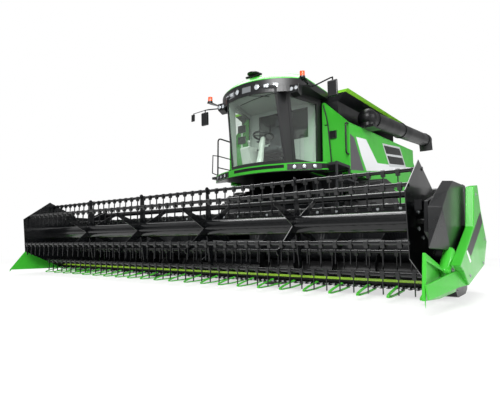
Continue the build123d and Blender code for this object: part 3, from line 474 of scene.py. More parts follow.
# Frame, axles and drives: rolled section and castings in dark grey chassis enamel, which is a little
# dull. The platform and the threshing body's sheets have it too.
chassis_enamel = enamel("dark_grey_chassis_enamel", "#26282A", 0.5, 0.1, 9, 0.08)
coat_nodes(chassis_enamel, "frame", "front_axle", "rear_axle", "knuckle_left", "knuckle_right", "thresher_body",
           "belt_drives", "platform")

# Engine block: cast iron with a rough grey paint. It sits inside the hood and shows only when a side
# panel is open.
iron_paint = enamel("painted_cast_iron", "#55585A", 0.6, 0.05, 14, 0.12)
coat_nodes(iron_paint, "engine_block")

# Bodywork: pressed and folded steel sheet in the same gloss leaf green enamel as the dividers: outer
# sheets, lower shields and both hoods.
coat_nodes(green_enamel, "body_sheets", "lower_shields", "rear_hood", "straw_hood")

# Rear hood's fittings: a round air screen on the right, pressed vent ribs on the left, louvres and lamps at
# the rear, all bolted on.
hood_side, hood_rear, screen_aft, screen_z, screen_r = 1.179, 9.149, 7.63, 2.74, 0.25
fittings = bmesh.new()
screen_rim = [(0, screen_r + 0.06), (-0.045, screen_r + 0.04), (-0.045, screen_r), (-0.01, screen_r), (0, screen_r)]
revolve(fittings, screen_rim, at(-hood_side - 0.0005, screen_aft, screen_z), (1, 0, 0), 64, ring=True)
for row in range(6):
    block(fittings, hood_side, hood_side + 0.013, 7.6, 8.35, 2.56 + row * 0.06, 2.584 + row * 0.06)
for row in range(7):
    block(fittings, -0.42, 0.42, hood_rear, hood_rear + 0.013, 2.05 + row * 0.05, 2.072 + row * 0.05)
fit("hood_vents", "machine", fittings, black_enamel, "black_paint", edge=0.003)
mesh_disc = bmesh.new()
revolve(mesh_disc, [(0, screen_r), (0.006, screen_r)], at(-hood_side - 0.009, screen_aft, screen_z), (1, 0, 0), 48)
# The screen is a flat disc: the wires are a lighter grid, and the near-black squares between them are painted shade
# standing in for its holes.
woven_wire, tree = start_material("woven_wire_mesh")
place = node(tree, "TexCoord").outputs["Object"]
wires = node(tree, "TexVoronoi", {"Vector": place, "Scale": 160, "Randomness": 0}, distance="CHEBYCHEV")
tone = node(tree, "MapRange", {"Value": wires, "From Min": 0.3, "From Max": 0.5, "To Min": 0.02, "To Max": 0.4})
wire = node(tree, "BsdfPrincipled", {"Base Color": tone, "Roughness": 0.4, "Metallic": 0.6})
node(tree, "OutputMaterial", {"Surface": wire})
fit("air_screen_mesh", "machine", mesh_disc, woven_wire, "dark_steel")
rear_lamps = bmesh.new()
for side in (-1, 1):
    block(rear_lamps, side * 0.88, side * 1.08, hood_rear, hood_rear + 0.036, 2.18, 2.30)
red_lens = moulded("red_acrylic_lens", "#8E0F0C", 0.15, 6, 0.1)
fit("rear_lamps", "machine", rear_lamps, red_lens, "lamp_lens", edge=0.01)

# Side panels: green, with a pale grey swept flash, a dark grey corner by the platform, and two black
# slatted vents in pale grey frames. The openings under the slats are painted near black as painted shade of the hollow
# behind them.
flash_code, corner_code, frame_code, vent_shade_code = "#D9DADD", "#4A484C", "#B9BCBE", "#0A0A0B"
outer_parts = [
    (flash_code, [(3.38, 2.65), (3.91, 2.71), (4.56, 2.32), (3.90, 2.05), (3.63, 2.32)]),
    (flash_code, [(4.56, 2.32), (7.41, 2.645), (7.41, 2.57), (3.90, 2.05)]),
    (corner_code, [(3.08, 2.65), (3.29, 2.61), (3.75, 2.03), (3.08, 1.95)]),
    (frame_code, [(4.92, 2.83), (6.24, 3.0), (6.74, 2.55), (5.37, 2.36)]),
]
vents = [[(5.0, 2.8), (6.2, 2.95), (6.38, 2.8), (5.18, 2.64)], [(5.23, 2.6), (6.43, 2.752), (6.6, 2.59), (5.4, 2.44)]]
panel_face, vent_slats = 1.45, 6
hands = ((1, "left"), (-1, "right"))


def joined(operation, *masks):
    """One mask from several: MULTIPLY for where all are 1, MAXIMUM for where any is."""
    def mask(tree, place):
        value = masks[0](tree, place)
        for other in masks[1:]:
            value = node(tree, "Math", {0: value, 1: other(tree, place)}, operation=operation)
        return value
    return mask


def within(corners):
    """A mask of a convex side outline of (aft, z) corners that runs clockwise as seen from the left."""
    edges = []
    for (aft, z), (next_aft, next_z) in zip(corners, corners[1:] + corners[:1]):
        back, up = next_z - z, aft - next_aft
        edges.append(past((0, back, up), back * (reel_aft + aft) + up * z))
    return joined("MULTIPLY", *edges)


def aside(limit):
    """A mask of the places farther than a limit from the machine's middle plane, to either side."""
    return joined("MAXIMUM", past((1, 0, 0), limit), past((-1, 0, 0), limit))


panel_zones = [(code, joined("MULTIPLY", within(part), aside(panel_face - 0.02))) for code, part in outer_parts]
# Painted shade: each vent's opening is a near-black zone of the panel that stands in for the dark hollow between the
# slats.
panel_zones += [(vent_shade_code, within(part)) for part in vents]
panel_enamel = enamel("leaf_green_panel_enamel", green_code, 0.34, 0.3, 10, 0.03, zones=panel_zones)
coat_nodes(panel_enamel, "side_panel_left", "side_panel_right")
# Vents: black moulded slats across each opening, a sixth of its depth apart.
for side, word in hands:
    slats = bmesh.new()
    for (a, b), (c, d), (e, f), (g, h) in vents:
        for slat in range(vent_slats):
            low, high = (slat + 0.2) / vent_slats, (slat + 0.62) / vent_slats
            slab(slats, [(a + (g - a) * low, b + (h - b) * low), (c + (e - c) * low, d + (f - d) * low),
                         (c + (e - c) * high, d + (f - d) * high), (a + (g - a) * high, b + (h - b) * high)],
                 side * (panel_face - 0.001), side * (panel_face + 0.005))
    fit(f"vent_slats_{word}", f"side_panel_{word}", slats, black_nylon, "black_plastic", edge=0.002)
# Panel catches: small black moulded handles in the lower edge.
catch_z = 1.94
catch_outline = (-0.07, 0), (-0.055, 0.03), (0.055, 0.03), (0.07, 0), (0.055, -0.02), (-0.055, -0.02)
for side, word in hands:
    catches = bmesh.new()
    for aft in (3.9, 5.4, 6.9):
        slab(catches, [(aft + a, catch_z + b) for a, b in catch_outline], side * panel_face,
             side * (panel_face + 0.014))
    fit(f"panel_catches_{word}", f"side_panel_{word}", catches, black_nylon, "black_plastic")

# Grain tank: folded sheet in the header's black enamel. The flared extension above it is black too, with
# a yellow-green band sprayed along its rim, which slopes 3 degrees up to the rear.
coat_nodes(black_enamel, "grain_tank", "auger_turret")
rim_slope, band_z, band_aft = sin(radians(3)) / cos(radians(3)), 3.51, 3.15
tank_enamel = enamel("black_tank_enamel_with_rim_band", black_code, 0.36, 0.15, 9, 0.06, zones=[
    ("#78BE28", past((0, -rim_slope, 1), band_z - rim_slope * (reel_aft + band_aft)))])
coat_nodes(tank_enamel, "tank_extension")

# Unloading tube: rolled tube in satin black enamel. Pairs of bolted flanges join its lengths, and a
# rubber spout hangs at its end.
tube_enamel = enamel("satin_black_tube_enamel", "#0A0B0D", 0.42, 0.1, 12, 0.06)
coat_nodes(tube_enamel, "unload_tube")
tube_start, tube_lean = at(1.48, 3.95, 3.16), radians(6.3)
tube_run = Vector((0, cos(tube_lean), sin(tube_lean)))
across = Vector((1, 0, 0))
up = tube_run.cross(across)
flange_thick, flange_inner, flange_r, bolt_circle, bolts = 0.012, 0.178, 0.196, 0.188, 12
flanges = bmesh.new()
for distance in (0.26, 2.2, 4.6):
    middle = tube_start + tube_run * distance
    for start in (0, flange_thick):
        revolve(flanges, [(0, flange_inner), (0, flange_r), (flange_thick - 0.001, flange_r),
                          (flange_thick - 0.001, flange_inner)], middle + tube_run * start, tube_run, 48, ring=True)
    turns = [2 * pi * k / bolts for k in range(bolts)]
    bolt_heads(flanges, [middle + tube_run * 2 * flange_thick + (across * cos(turn) + up * sin(turn)) * bolt_circle
                         for turn in turns], tube_run, 0.012, 0.008)
fit("tube_flanges", "unload_auger", flanges, tube_enamel, "black_paint")

# Handrails: bent tube in black enamel. A long one leans beside the door, with a small switch box, and
# cross rails close the loop at the cab's far side.
coat_nodes(black_enamel, "handrails")


def bar(name, body, points, radius, material):
    """A bent round bar through (x, aft, z) points."""
    line = bpy.data.curves.new(name, "CURVE")
    line.dimensions = "3D"
    line.bevel_depth = radius
    line.bevel_resolution = 2
    spline = line.splines.new("POLY")
    spline.points.add(len(points) - 1)
    for spot, point in zip(spline.points, points):
        spot.co = (*at(*point), 1)
    line.materials.append(material)
    made = add_object(name, line)
    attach(made, body)


bar("door_rail", "machine", [(0.94, 3.018, 3.29), (1.0, 3.016, 3.05), (1.03, 3.018, 2.86), (1.10, 3.018, 2.02)],
    0.013, black_enamel)
rungs = bmesh.new()
for x, z in ((0.957, 3.20), (1.026, 2.88), (1.055, 2.62), (1.072, 2.38)):
    rod(rungs, at(x, 3.018, z), at(x, 3.042, z), 0.010)
rod(rungs, at(1.02, 3.018, 2.88), at(0.96, 3.03, 2.88), 0.009)
block(rungs, 1.06, 1.20, 3.0, 3.041, 2.59, 2.74)
fit("door_rail_brackets", "machine", rungs, black_enamel, "black_paint", edge=0.003)
far_rails = (
    ("middle", [(-1.27, 2.42, 2.45), (-1.27, 3.04, 2.45)]),
    ("lower", [(-1.27, 2.42, 2.20), (-1.27, 3.04, 2.20)]),
    ("front_loop", [(-1.27, 2.42, 2.45), (-1.29, 2.28, 2.44), (-1.29, 2.27, 2.06), (-1.27, 2.42, 2.03)]),
)
for word, points in far_rails:
    bar(f"far_rail_{word}", "machine", points, 0.012, black_enamel)

# Cab shell: a pressed and welded frame, black outside and lined with light grey moulded trim inside. The
# trim is a zone of the frame's own finish, on the faces that look inwards.
lining_code = "#A9B0AB"
cab_floor, screen_arc, screen_centre, screen_lean = 2.01, 1.6969, 3.6869, 0.2400 / 1.4100


def lining(tree, place):
    """The faces that look into the cab: inside the walls and behind the bowed, leaning windscreen."""
    wall = -0.838 + 0.25 * (reel_aft + 3.05)
    walls = joined("MULTIPLY", past((-1, 0.25, 0), wall), past((1, 0.25, 0), wall),
                   past((0, -1, 0), -(reel_aft + 3.02)))
    upright = node(tree, "VectorMath", {0: place, 1: (0, 1, screen_lean)}, operation="DOT_PRODUCT").outputs["Value"]
    centre = reel_aft + screen_centre + screen_lean * cab_floor
    behind = node(tree, "Math", {0: upright, 1: centre}, operation="SUBTRACT")
    level = node(tree, "CombineXYZ", {0: node(tree, "SeparateXYZ", {0: place}), 1: behind})
    away = node(tree, "VectorMath", {0: level}, operation="LENGTH").outputs["Value"]
    near = node(tree, "Math", {0: away, 1: screen_arc - 0.030}, operation="LESS_THAN")
    return node(tree, "Math", {0: walls(tree, place), 1: near}, operation="MULTIPLY")


cab_abs = moulded("black_cab_shell_with_grey_lining", "#0F1012", 0.35, 5, 0.12, zones=[(lining_code, lining)])
coat_nodes(cab_abs, "cab_frame", "door_frame")
black_abs = moulded("black_moulded_abs", "#111214", 0.35, 5, 0.12)
coat_nodes(black_abs, "roof_visor")

# Windscreen wiper: a black arm with a rubber blade, parked along the top edge of the bowed screen.


def screen_point(x, z, out=0.0):
    """An (x, aft, z) point out in front of the windscreen's outer face."""
    return x, screen_centre - (screen_arc ** 2 - x * x) ** 0.5 - screen_lean * (z - cab_floor) - out, z


wiper_points = [screen_point(*spot) for spot in ((0.02, 3.33, 0.01), (0.06, 3.29, 0.04), (0.46, 3.22, 0.03))]
bar("wiper_arm", "machine", wiper_points, 0.008, black_abs)
blade_points = [screen_point(0.02 + 0.1 * k, 3.19 + 0.015 * k, 0.016) for k in range(-2, 7)]
bar("wiper_blade", "machine", blade_points, 0.007, black_abs)

# Roof: a moulded dome in leaf green that curves up from a black visor. The visor has a skirt in front of
# the windscreen and a lamp pod at each side.
visor_arc, visor_aft = 1.2354, 2.9754


def visor_point(degrees, z, out=0.0):
    """A point out from the visor's round front."""
    angle = radians(degrees)
    return at((visor_arc + out) * sin(angle), visor_aft - (visor_arc + out) * cos(angle), z)


def visor_band(mesh, degrees, z_low, z_high, inside, outside):
    """Adds a bent panel on the visor's round front, between two distances from it."""
    skin(mesh, [[visor_point(a, z_low, inside), visor_point(a, z_low, outside), visor_point(a, z_high, outside),
                 visor_point(a, z_high, inside)] for a in degrees])


skirt = bmesh.new()
visor_band(skirt, range(-39, 40, 3), 3.30, 3.43, -0.02, -0.002)
pod_front, pod_rear, pod_top = 2.03, 2.15, 3.421
for side in (-1, 1):
    skin(skirt, [[at(side * x, pod_front, low), at(side * x, pod_rear, low - 0.05), at(side * x, pod_rear, pod_top),
                  at(side * x, pod_front, pod_top)]
                 for x, low in ((0.755, 3.30), (0.775, 3.272), (0.925, 3.272), (0.945, 3.30))])
fit("visor_skirt", "machine", skirt, black_abs, "black_plastic", edge=0.004)
dome = bmesh.new()
rows, roof_foot, roof_top = [], 3.55, 3.82
dome_steps = (0.0, 0), (0.004, 0.05), (0.03, 0.16), (0.08, 0.33), (0.15, 0.52), (0.25, 0.74), (0.36, 0.9), (0.5, 1)
for inset, up in dome_steps:  # distance in from the visor's edge and share of the dome's height
    half, front, corner_aft, rear = 1.0 - inset, 1.74 + inset, 2.25 + inset * 0.6, 3.10 - inset * 0.4
    front_arc = (half ** 2 + (corner_aft - front) ** 2) / 2 / (corner_aft - front)
    z = roof_foot + up * (roof_top - roof_foot)
    front_xs = [half * sin(radians(-90 + step * 7.5)) for step in range(25)]
    points = [at(x, front + front_arc - (front_arc ** 2 - x * x) ** 0.5, z) for x in front_xs]
    rows.append(points + [at(half, rear, z), at(-half, rear, z)])
skin(dome, rows)
roof_piece = fit("roof_dome", "machine", dome, green_enamel, "green_paint", edge=0.004)
for face in roof_piece.data.polygons:
    face.use_smooth = len(face.vertices) == 4
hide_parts("cab_roof")

# Mirrors: moulded housings on bent tube arms, with silvered glass in their rear faces, and one small far
# mirror beyond the right one.
housings = bmesh.new()
arm = (0.99, 2.44, 3.48), (1.06, 2.44, 3.48), (1.44, 2.27, 3.47), (1.5, 2.25, 3.465), (1.5, 2.25, 3.38)
for side, word in hands[::-1]:
    bar(f"mirror_arm_{word}", "machine", [(side * x, aft, z) for x, aft, z in arm], 0.014, black_enamel)
    slab(housings, [(2.226, 3.13), (2.216, 3.385), (2.226, 3.41), (2.262, 3.405), (2.274, 3.14), (2.262, 3.12)],
         side * 1.41, side * 1.59)
slab(housings, [(2.228, 3.27), (2.228, 3.43), (2.25, 3.43), (2.25, 3.27)], -1.8, -1.9)
bar("far_mirror_arm", "machine", [(-1.5, 2.25, 3.465), (-1.84, 2.24, 3.445), (-1.85, 2.24, 3.42)], 0.009,
    black_enamel)
mirror_piece = fit("mirror_housings", "machine", housings, black_abs, "black_plastic", edge=0.02)
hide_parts("mirrors")

# Cab base: folded sheet in the same leaf green enamel. Its underside is black, and so are a recess for the
# headlamps at each end and a bare strip between them.
underside_z, lip_z, recess_x = 1.874, 1.985, 0.72


def between(direction, low, high):
    """A mask of the places between two limits along a direction."""
    return joined("MULTIPLY", past(direction, low), past([-part for part in direction], -high))


base_zones = [(black_code, mask) for mask in (
    past((0, 0, -1), -underside_z),
    joined("MULTIPLY", between((0, 0, 1), 1.893, lip_z), aside(recess_x)),
    joined("MULTIPLY", between((0, 0, 1), 1.925, lip_z), between((1, 0, 0), -0.50, 0.62)))]
fascia_enamel = enamel("leaf_green_fascia_enamel", green_code, 0.34, 0.3, 10, 0.03, zones=base_zones)
coat_nodes(fascia_enamel, "cab_base")

# Steering column, console and screens: light grey moulded polypropylene; the wheel's rim has a
# black foamed grip.
grey_trim = moulded("light_grey_moulded_trim", "#A9AEA9", 0.5, 4, 0.2)


def cut_corners(share):
    """A square of half side 1 with cut corners; share is the part of each half side that stays."""
    return [(-1, -share), (-share, -1), (share, -1), (1, -share), (1, share), (share, 1), (-share, 1), (-1, share)]


column_rings = ((2.16, 2.03, 0.075, 0.07), (2.17, 2.10, 0.058, 0.06), (2.225, 2.36, 0.045, 0.045),
                (2.25, 2.50, 0.055, 0.05), (2.272, 2.58, 0.042, 0.04), (2.292, 2.645, 0.04, 0.036))
column = bmesh.new()
skin(column, [[at(a * wide, aft + b * deep, z) for a, b in cut_corners(0.6)] for aft, z, wide, deep in column_rings])
slab(column, [(2.38, 2.03), (2.25, 2.47), (2.27, 2.50), (2.42, 2.52), (2.86, 2.50), (2.88, 2.47), (2.86, 2.03)],
     -0.54, -0.33)
rod(column, at(-0.43, 2.42, 2.49), at(-0.425, 2.40, 2.61), 0.016)
revolve(column, [(0, 0.012), (0.01, 0.026), (0.035, 0.03), (0.06, 0.02)], at(-0.425, 2.40, 2.60), (0, -0.1, 1), 20)
rod(column, at(-0.52, 2.29, 2.48), at(-0.52, 2.29, 2.97), 0.013)
controls_piece = fit("column_and_console", "machine", column, grey_trim, "grey_plastic", edge=0.006)
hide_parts("cab_controls")
screens, panes = bmesh.new(), bmesh.new()
for z in (2.57, 2.80):
    block(screens, -0.60, -0.41, 2.256, 2.28, z, z + 0.15)
    block(panes, -0.59, -0.42, 2.2795, 2.2815, z + 0.012, z + 0.138)
fit("screen_housings", "machine", screens, black_abs, "black_plastic", edge=0.006)
screen_pane = moulded("dark_screen_pane", "#20303A", 0.08, 4, 0.02)
fit("screen_panes", "machine", panes, screen_pane, "black_plastic")
wheel_middle = at(0, 2.2942, 2.661)
wheel_axis = Vector((0, 0.14, 0.62)).normalized()
up = wheel_axis.cross(across)
turns, around, wheel_r, grip_r = 48, 12, 0.191, 0.021
grip = bmesh.new()
rings = []
for number in range(turns):
    out = across * cos(2 * pi * number / turns) + up * sin(2 * pi * number / turns)
    rings.append([wheel_middle + out * (wheel_r + grip_r * cos(2 * pi * k / around))
                  + wheel_axis * grip_r * sin(2 * pi * k / around) for k in range(around)])
skin(grip, rings, ring=True)
fit("steering_wheel_grip", "machine", grip, black_abs, "grey_plastic", smooth=True)
spokes = bmesh.new()
revolve(spokes, [(-0.02, 0.03), (0.0, 0.055), (0.02, 0.055), (0.028, 0.045)], wheel_middle - wheel_axis * 0.012,
        wheel_axis, 32)
for number in range(3):
    angle = radians(90 + 120 * number)
    out = across * cos(angle) + up * sin(angle)
    wide = wheel_axis.cross(out)
    skin(spokes, [[wheel_middle + out * reach + wide * half * a + wheel_axis * 0.006 * b
                   for a, b in ((-1, -1), (1, -1), (1, 1), (-1, 1))]
                  for reach, half in ((0.04, 0.026), (0.12, 0.014), (0.185, 0.018))])
fit("steering_wheel_spokes", "machine", spokes, black_abs, "grey_plastic", edge=0.002)

# Seat: foam cushions in dark woven cloth, crowned and pulled in along two sewn channels, on a moulded
# rubber bellows over the suspension.
seat_cloth = moulded("dark_woven_seat_cloth", "#3A3D40", 0.9, 3, 0.5)
channel_place, channel_half, channel_depth = 0.55, 0.09, 0.10  # shares of the half width and of the crown


def cushion(name, middle, size, lean):
    """A crowned closed cushion whose sides pull in between its corners; lean turns it about the x axis."""
    mesh = bmesh.new()
    grid, steps, pull_in = {}, 16, 0.035
    for side in (1, -1):
        for i in range(steps + 1):
            for j in range(steps + 1):
                u, v = 2 * i / steps - 1, 2 * j / steps - 1
                rim = i in (0, steps) or j in (0, steps)
                if rim and side < 0:
                    grid[side, i, j] = grid[1, i, j]
                    continue
                crown = ((1 - abs(u) ** 3.2) * (1 - abs(v) ** 3.2)) ** 0.42
                channel = 1 - channel_depth * max(0, 1 - abs(abs(u) - channel_place) / channel_half)
                x = u * size[0] / 2 * (1 - pull_in * (1 - v * v))
                y = v * size[1] / 2 * (1 - pull_in * (1 - u * u))
                grid[side, i, j] = mesh.verts.new((x, y, 0 if rim else side * size[2] / 2 * crown * channel))
    for side in (1, -1):
        for i in range(steps):
            for j in range(steps):
                mesh.faces.new([grid[side, a, b] for a, b in ((i, j), (i + 1, j), (i + 1, j + 1), (i, j + 1))])
    bmesh.ops.transform(mesh, matrix=Matrix.Translation(middle) @ Matrix.Rotation(lean, 4, "X"), verts=mesh.verts)
    made = fit(name, "machine", mesh, seat_cloth, "seat_fabric", smooth=True)
    return made


seat_pad = cushion("seat_cushion", at(0, 2.66, 2.43), (0.52, 0.47, 0.14), radians(-3))
back_pad = cushion("seat_back_cushion", at(0, 2.90, 2.74), (0.49, 0.62, 0.12), radians(82))
head_pad = cushion("seat_headrest", at(0, 2.935, 3.10), (0.27, 0.18, 0.09), radians(84))
arm_pads = [cushion(f"seat_armrest_{word}", at(side * 0.285, 2.68, 2.65), (0.07, 0.36, 0.06), radians(4))
            for side, word in hands]
pedestal = bmesh.new()
folds, fold_foot, fold_rise = 12, 2.06, 0.0245
rows = []
for number in range(folds + 1):
    reach = 0.2 if number in (0, folds) else (0.185, 0.215)[number % 2]
    rows.append([at(a * reach, 2.68 + b * reach * 0.85, fold_foot + number * fold_rise) for a, b in cut_corners(0.8)])
skin(pedestal, rows)
block(pedestal, -0.22, 0.22, 2.48, 2.88, 2.031, 2.06)
for side in (-1, 1):
    slab(pedestal, [(2.80, 2.36), (2.86, 2.64), (2.90, 2.64), (2.88, 2.36)], side * 0.25 - 0.008, side * 0.25 + 0.008)
seat_base = fit("seat_pedestal", "machine", pedestal, black_abs, "seat_fabric")
for piece in (seat_pad, back_pad, seat_base, head_pad, *arm_pads):
    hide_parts("driver_seat")

# Headliner and floor mat: light grey moulded lining under the roof, and a dark ribbed rubber mat on the
# floor, each cut to the cab's tapered plan.
rubber_mat = moulded("ribbed_rubber_mat", "#232425", 0.8, 5, 0.4)
linings = (  # name, half width and aft at the front, then at the rear, height, thickness, material, slot
    ("headliner", (0.52, 1.96), (0.80, 2.98), 3.395, 0.022, grey_trim, "grey_plastic"),
    ("floor_mat", (0.50, 2.2), (0.76, 2.98), 2.031, 0.006, rubber_mat, "rubber"),
)
for name, (front_half, front), (rear_half, rear), z, thick, material, slot in linings:
    sheet = bmesh.new()
    prism(sheet, [at(-front_half, front, z), at(front_half, front, z), at(rear_half, rear, z), at(-rear_half, rear, z)],
          Vector((0, 0, thick)))
    fit(name, "machine", sheet, material, slot)

# Cab windows: laminated safety glass with a faint green tint. A clear shader stands in for its shadow, so
# that daylight reaches the cab.
safety_glass, tree = start_material("tinted_safety_glass")
glass = node(tree, "BsdfPrincipled", {"Base Color": linear("#F0F7F2"), "Roughness": 0.01, "IOR": 1.45,
                                      "Transmission Weight": 1})
clear = node(tree, "BsdfTransparent", {"Color": linear("#EAF3EC")})
path = node(tree, "LightPath").outputs
mixed = node(tree, "MixShader", {0: path["Is Shadow Ray"], 1: glass, 2: clear})
node(tree, "OutputMaterial", {"Surface": mixed})
coat_nodes(safety_glass, "cab_glass", "door_glass")

# Lamps: clear moulded lenses in black bezels: one round and two small ones at each side of the visor's
# middle, flat grey panels between, a pair on each pod and three headlamps at each end of the fascia.
clear_lens, tree = start_material("clear_polycarbonate_lens")
place = node(tree, "TexCoord").outputs["Object"]
flutes = node(tree, "TexVoronoi", {"Vector": place, "Scale": 60})
relief = node(tree, "Bump", {"Height": flutes, "Strength": 0.5, "Distance": 0.003})
# Painted glint: the lens is lighter towards the edges of each flute's cell, standing in for light caught by the facets
# and the reflector behind.
painted_glint = node(tree, "MapRange", {"Value": flutes, "From Max": 0.6, "To Min": 0.55, "To Max": 1})
tint = node(tree, "HueSaturation", {"Color": linear("#D3D9DE"), "Value": painted_glint})
lens = node(tree, "BsdfPrincipled", {"Base Color": tint, "Normal": relief, "Roughness": 0.1, "Metallic": 0.35,
                                     "Coat Weight": 0.8})
node(tree, "OutputMaterial", {"Surface": lens})
bezels, lenses, grey_panels = bmesh.new(), bmesh.new(), bmesh.new()


def round_lamp(centre, outward, radius):
    """Adds a bezel ring and a domed lens that face outward."""
    revolve(bezels, [(-0.01, radius + 0.010), (0.012, radius + 0.010), (0.016, radius + 0.004), (0.012, radius),
                     (-0.01, radius)], centre, outward, 32, ring=True)
    revolve(lenses, [(-0.005, radius), (0.006, radius), (0.011, radius * 0.8), (0.014, radius * 0.5),
                     (0.015, radius * 0.1)], centre, outward, 32)


def arc_panel(mesh, first, last, z_low, z_high, out):
    """Adds a shallow bent panel on the visor's round front, between two angles."""
    visor_band(mesh, [first + (last - first) * k / 6 for k in range(7)], z_low, z_high, -0.004, out)


round_lamp_turn, bezel_margin = 10.5, 0.6
for side in (-1, 1):
    turn = radians(side * round_lamp_turn)
    round_lamp(visor_point(side * round_lamp_turn, 3.425), (sin(turn), -cos(turn), 0), 0.05)
    for first, last in ((17, 21), (25, 29)):
        arc_panel(bezels, side * first - bezel_margin, side * last + bezel_margin, 3.388, 3.462, 0.006)
        arc_panel(lenses, side * first, side * last, 3.396, 3.454, 0.010)
    for x in (0.803, 0.897):
        round_lamp(at(side * x, pod_front - 0.002, 3.345), (0, -1, -0.05), 0.036)
for first, last in ((-24, -15), (-4.5, 4.5)):
    arc_panel(grey_panels, first, last, 3.36, 3.47, 0.006)
fascia_arc, fascia_front, headlamp_x, headlamp_pitch, headlamp_z = 2.1028, 1.95, 0.96, 0.16, 1.935
for side in (-1, 1):
    rows = []
    for x in (0.68 + 0.06 * k for k in range(10)):
        rise = 0.012 * abs(x - headlamp_x)
        edges = (1.875 + rise, -0.004), (1.882 + rise, 0.008), (1.988, 0.008), (1.995, -0.004)
        rows.append([at(side * x, fascia_front + fascia_arc - ((fascia_arc + out) ** 2 - x * x) ** 0.5, z)
                     for z, out in edges])
    skin(bezels, rows)
for side in (-1, 1):
    for step in (-1, 0, 1):
        lean = (side * headlamp_x + step * headlamp_pitch) / fascia_arc
        out = Vector((lean, -(1 - lean ** 2) ** 0.5, 0))
        round_lamp(at(0, fascia_front + fascia_arc, headlamp_z) + out * (fascia_arc + 0.006), out, 0.036)
fit("lamp_bezels", "machine", bezels, black_abs, "black_plastic")
lens_piece = fit("lamp_lenses", "machine", lenses, clear_lens, "lamp_lens")
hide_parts("work_lamps")
grey_plastic = moulded("mid_grey_moulded_abs", "#6E7174", 0.3, 5, 0.1)
fit("visor_panels", "machine", grey_panels, grey_plastic, "grey_plastic", edge=0.003)

# Antenna: a moulded satellite receiver on a short mast at the front of the roof, in the same black ABS
# as the visor, on a cross bar.
mast_aft, disc_z = 1.98, 3.785
antenna = bmesh.new()
rod(antenna, at(0, mast_aft, 3.66), at(0, mast_aft, 3.79), 0.016)
revolve(antenna, [(0, 0.10), (0.012, 0.125), (0.03, 0.125), (0.048, 0.09), (0.056, 0.04)],
        at(0, mast_aft, disc_z), (0, 0, 1), 32)
block(antenna, -0.18, 0.18, mast_aft - 0.025, mast_aft + 0.025, disc_z - 0.03, disc_z)
fit("satellite_antenna", "machine", antenna, black_abs, "black_plastic", edge=0.004)

# Beacons: amber moulded lenses on black bases. Lens and base are one node, so the amber is a zone that
# starts above the base.
beacon_base_top = 3.482
amber_lens = moulded("amber_polycarbonate_lens", "#101112", 0.18, 6, 0.1, zones=[
    ("#F0500A", past((0, 0, 1), beacon_base_top))])
coat_nodes(amber_lens, "beacons")

# Wheels: rubber tyres with two rows of slanted lugs, on rolled and pressed steel rims in light grey
# enamel with eight wheel bolts.
tyre_rubber = moulded("moulded_tyre_rubber", "#1A1A1B", 0.75, 6, 0.4)
coat_nodes(tyre_rubber, "unload_spout")
rim_enamel = enamel("light_grey_rim_enamel", "#A8A9A6", 0.4, 0.3, 8, 0.05)
wheel_sizes = [  # name, centre x, aft, radius, half width, rim radius, lugs, hub radius
    ("front", 1.55, 3.95, 0.93, 0.33, 0.43, 18, 0.14),
    ("rear", 1.40, 7.85, 0.65, 0.24, 0.33, 16, 0.055),
]
lug_steps, lug_sweep, wheel_bolts = 6, radians(9.5), 8


def lathe(mesh, profile, aft, z, segments=96):
    """Adds a form turned about an axle across the machine, from a closed profile of (x, radius)."""
    turns = [2 * pi * number / segments for number in range(segments)]
    skin(mesh, [[polar(x, aft, z, radius, turn) for x, radius in profile] for turn in turns], ring=True)


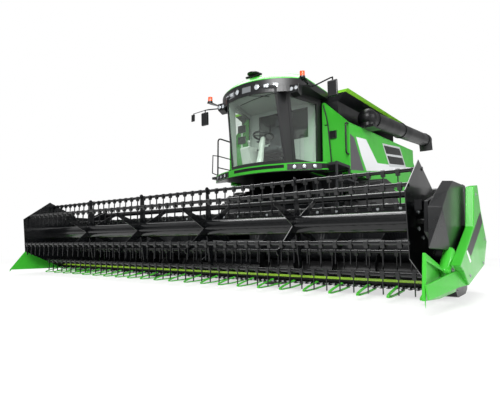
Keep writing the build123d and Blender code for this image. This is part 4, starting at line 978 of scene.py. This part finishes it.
for word, centre_x, aft, radius, half, rim_r, lugs, hub_r in wheel_sizes:
    tread_r, shoulder_r, lug_half, bolt_r = radius * 0.955, radius * 0.87, 2 * pi / lugs / 7, hub_r + 0.06
    for side, hand in hands:
        x = side * centre_x
        rubber = bmesh.new()
        profile = [(-half + 0.062, rim_r), (-half + 0.05, rim_r + 0.022), (-half + 0.012, rim_r + 0.10),
                   (-half, (rim_r + shoulder_r) / 2), (-half + 0.004, shoulder_r - 0.02),
                   (-half + 0.02, shoulder_r + 0.03), (-half + 0.06, tread_r - 0.004), (-half + 0.14, tread_r)]
        profile = [(x + a, r) for a, r in profile] + [(x - a, r) for a, r in reversed(profile)]
        lathe(rubber, profile, aft, radius)
        for edge in (-1, 1):
            for start in (2 * pi * number / lugs + (edge + 1) * pi / 2 / lugs for number in range(lugs)):
                rows = []
                for share in (step / lug_steps for step in range(lug_steps + 1)):
                    low = tread_r - 0.03 if share < 0.8 else shoulder_r - 0.05
                    high = radius - 0.001 if share < 0.9 else radius - 0.05
                    lug_x, turn = x + edge * (0.004 + (half - 0.006) * share), start + lug_sweep * share
                    rows.append([polar(lug_x, aft, radius, r, turn + a * lug_half)
                                 for r, a in ((low, -1.15), (high, -1), (high, 1), (low, 1.15))])
                skin(rubber, rows)
        tyre = fit(f"{word}_tyre_{hand}", f"{word}_wheel_{hand}", rubber, tyre_rubber, "tyre")
        for face in tyre.data.polygons:
            face.use_smooth = len(face.vertices) == 4 and face.area < 0.0009
        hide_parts(f"tyre_{word}_{hand}")
        metal = bmesh.new()
        profile = [(half - 0.060, rim_r), (half - 0.052, rim_r + 0.012), (half - 0.062, rim_r - 0.012),
                   (half - 0.10, rim_r - 0.03), (half * 0.45, rim_r - 0.045), (0.03, rim_r * 0.62),
                   (0.035, rim_r * 0.45), (0.02, hub_r + 0.001), (-0.05, hub_r + 0.001), (-0.03, rim_r * 0.62),
                   (half * 0.2, rim_r - 0.06), (-half + 0.09, rim_r - 0.03), (-half + 0.062, rim_r - 0.012),
                   (-half + 0.052, rim_r + 0.012), (-half + 0.060, rim_r)]
        lathe(metal, [(x + side * a, r) for a, r in profile], aft, radius)
        turns = [2 * pi * k / wheel_bolts for k in range(wheel_bolts)]
        bolt_heads(metal, [polar(x + side * 0.034, aft, radius, bolt_r, turn) for turn in turns], (side, 0, 0), 0.026,
                   0.022)
        rim = fit(f"{word}_rim_{hand}", f"{word}_wheel_{hand}", metal, rim_enamel, "rim_paint")
        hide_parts(f"rim_{word}_{hand}")

# Mirror glass: silvered plates, faintly rippled, set a hair proud of the leaning rear faces of the two
# large mirror housings.
mirror_silver, tree = start_material("silvered_mirror_glass")
ripple = node(tree, "TexNoise", {"Scale": 3, "Detail": 1})
relief = node(tree, "Bump", {"Height": ripple, "Strength": 0.02, "Distance": 0.001})
silver = node(tree, "BsdfPrincipled", {"Base Color": linear("#D8DCDD"), "Metallic": 1, "Roughness": 0.03,
                                       "Normal": relief})
node(tree, "OutputMaterial", {"Surface": silver})
plates = bmesh.new()
for side in (-1, 1):
    prism(plates, [at(side * 1.5 + a, 2.275 - (z - 3.12) * 0.034, z)
                   for a, z in ((-0.075, 3.14), (0.075, 3.14), (0.075, 3.385), (-0.075, 3.385))], Vector((0, 0.002, 0)))
fit("mirror_plates", "machine", plates, mirror_silver, "black_plastic")
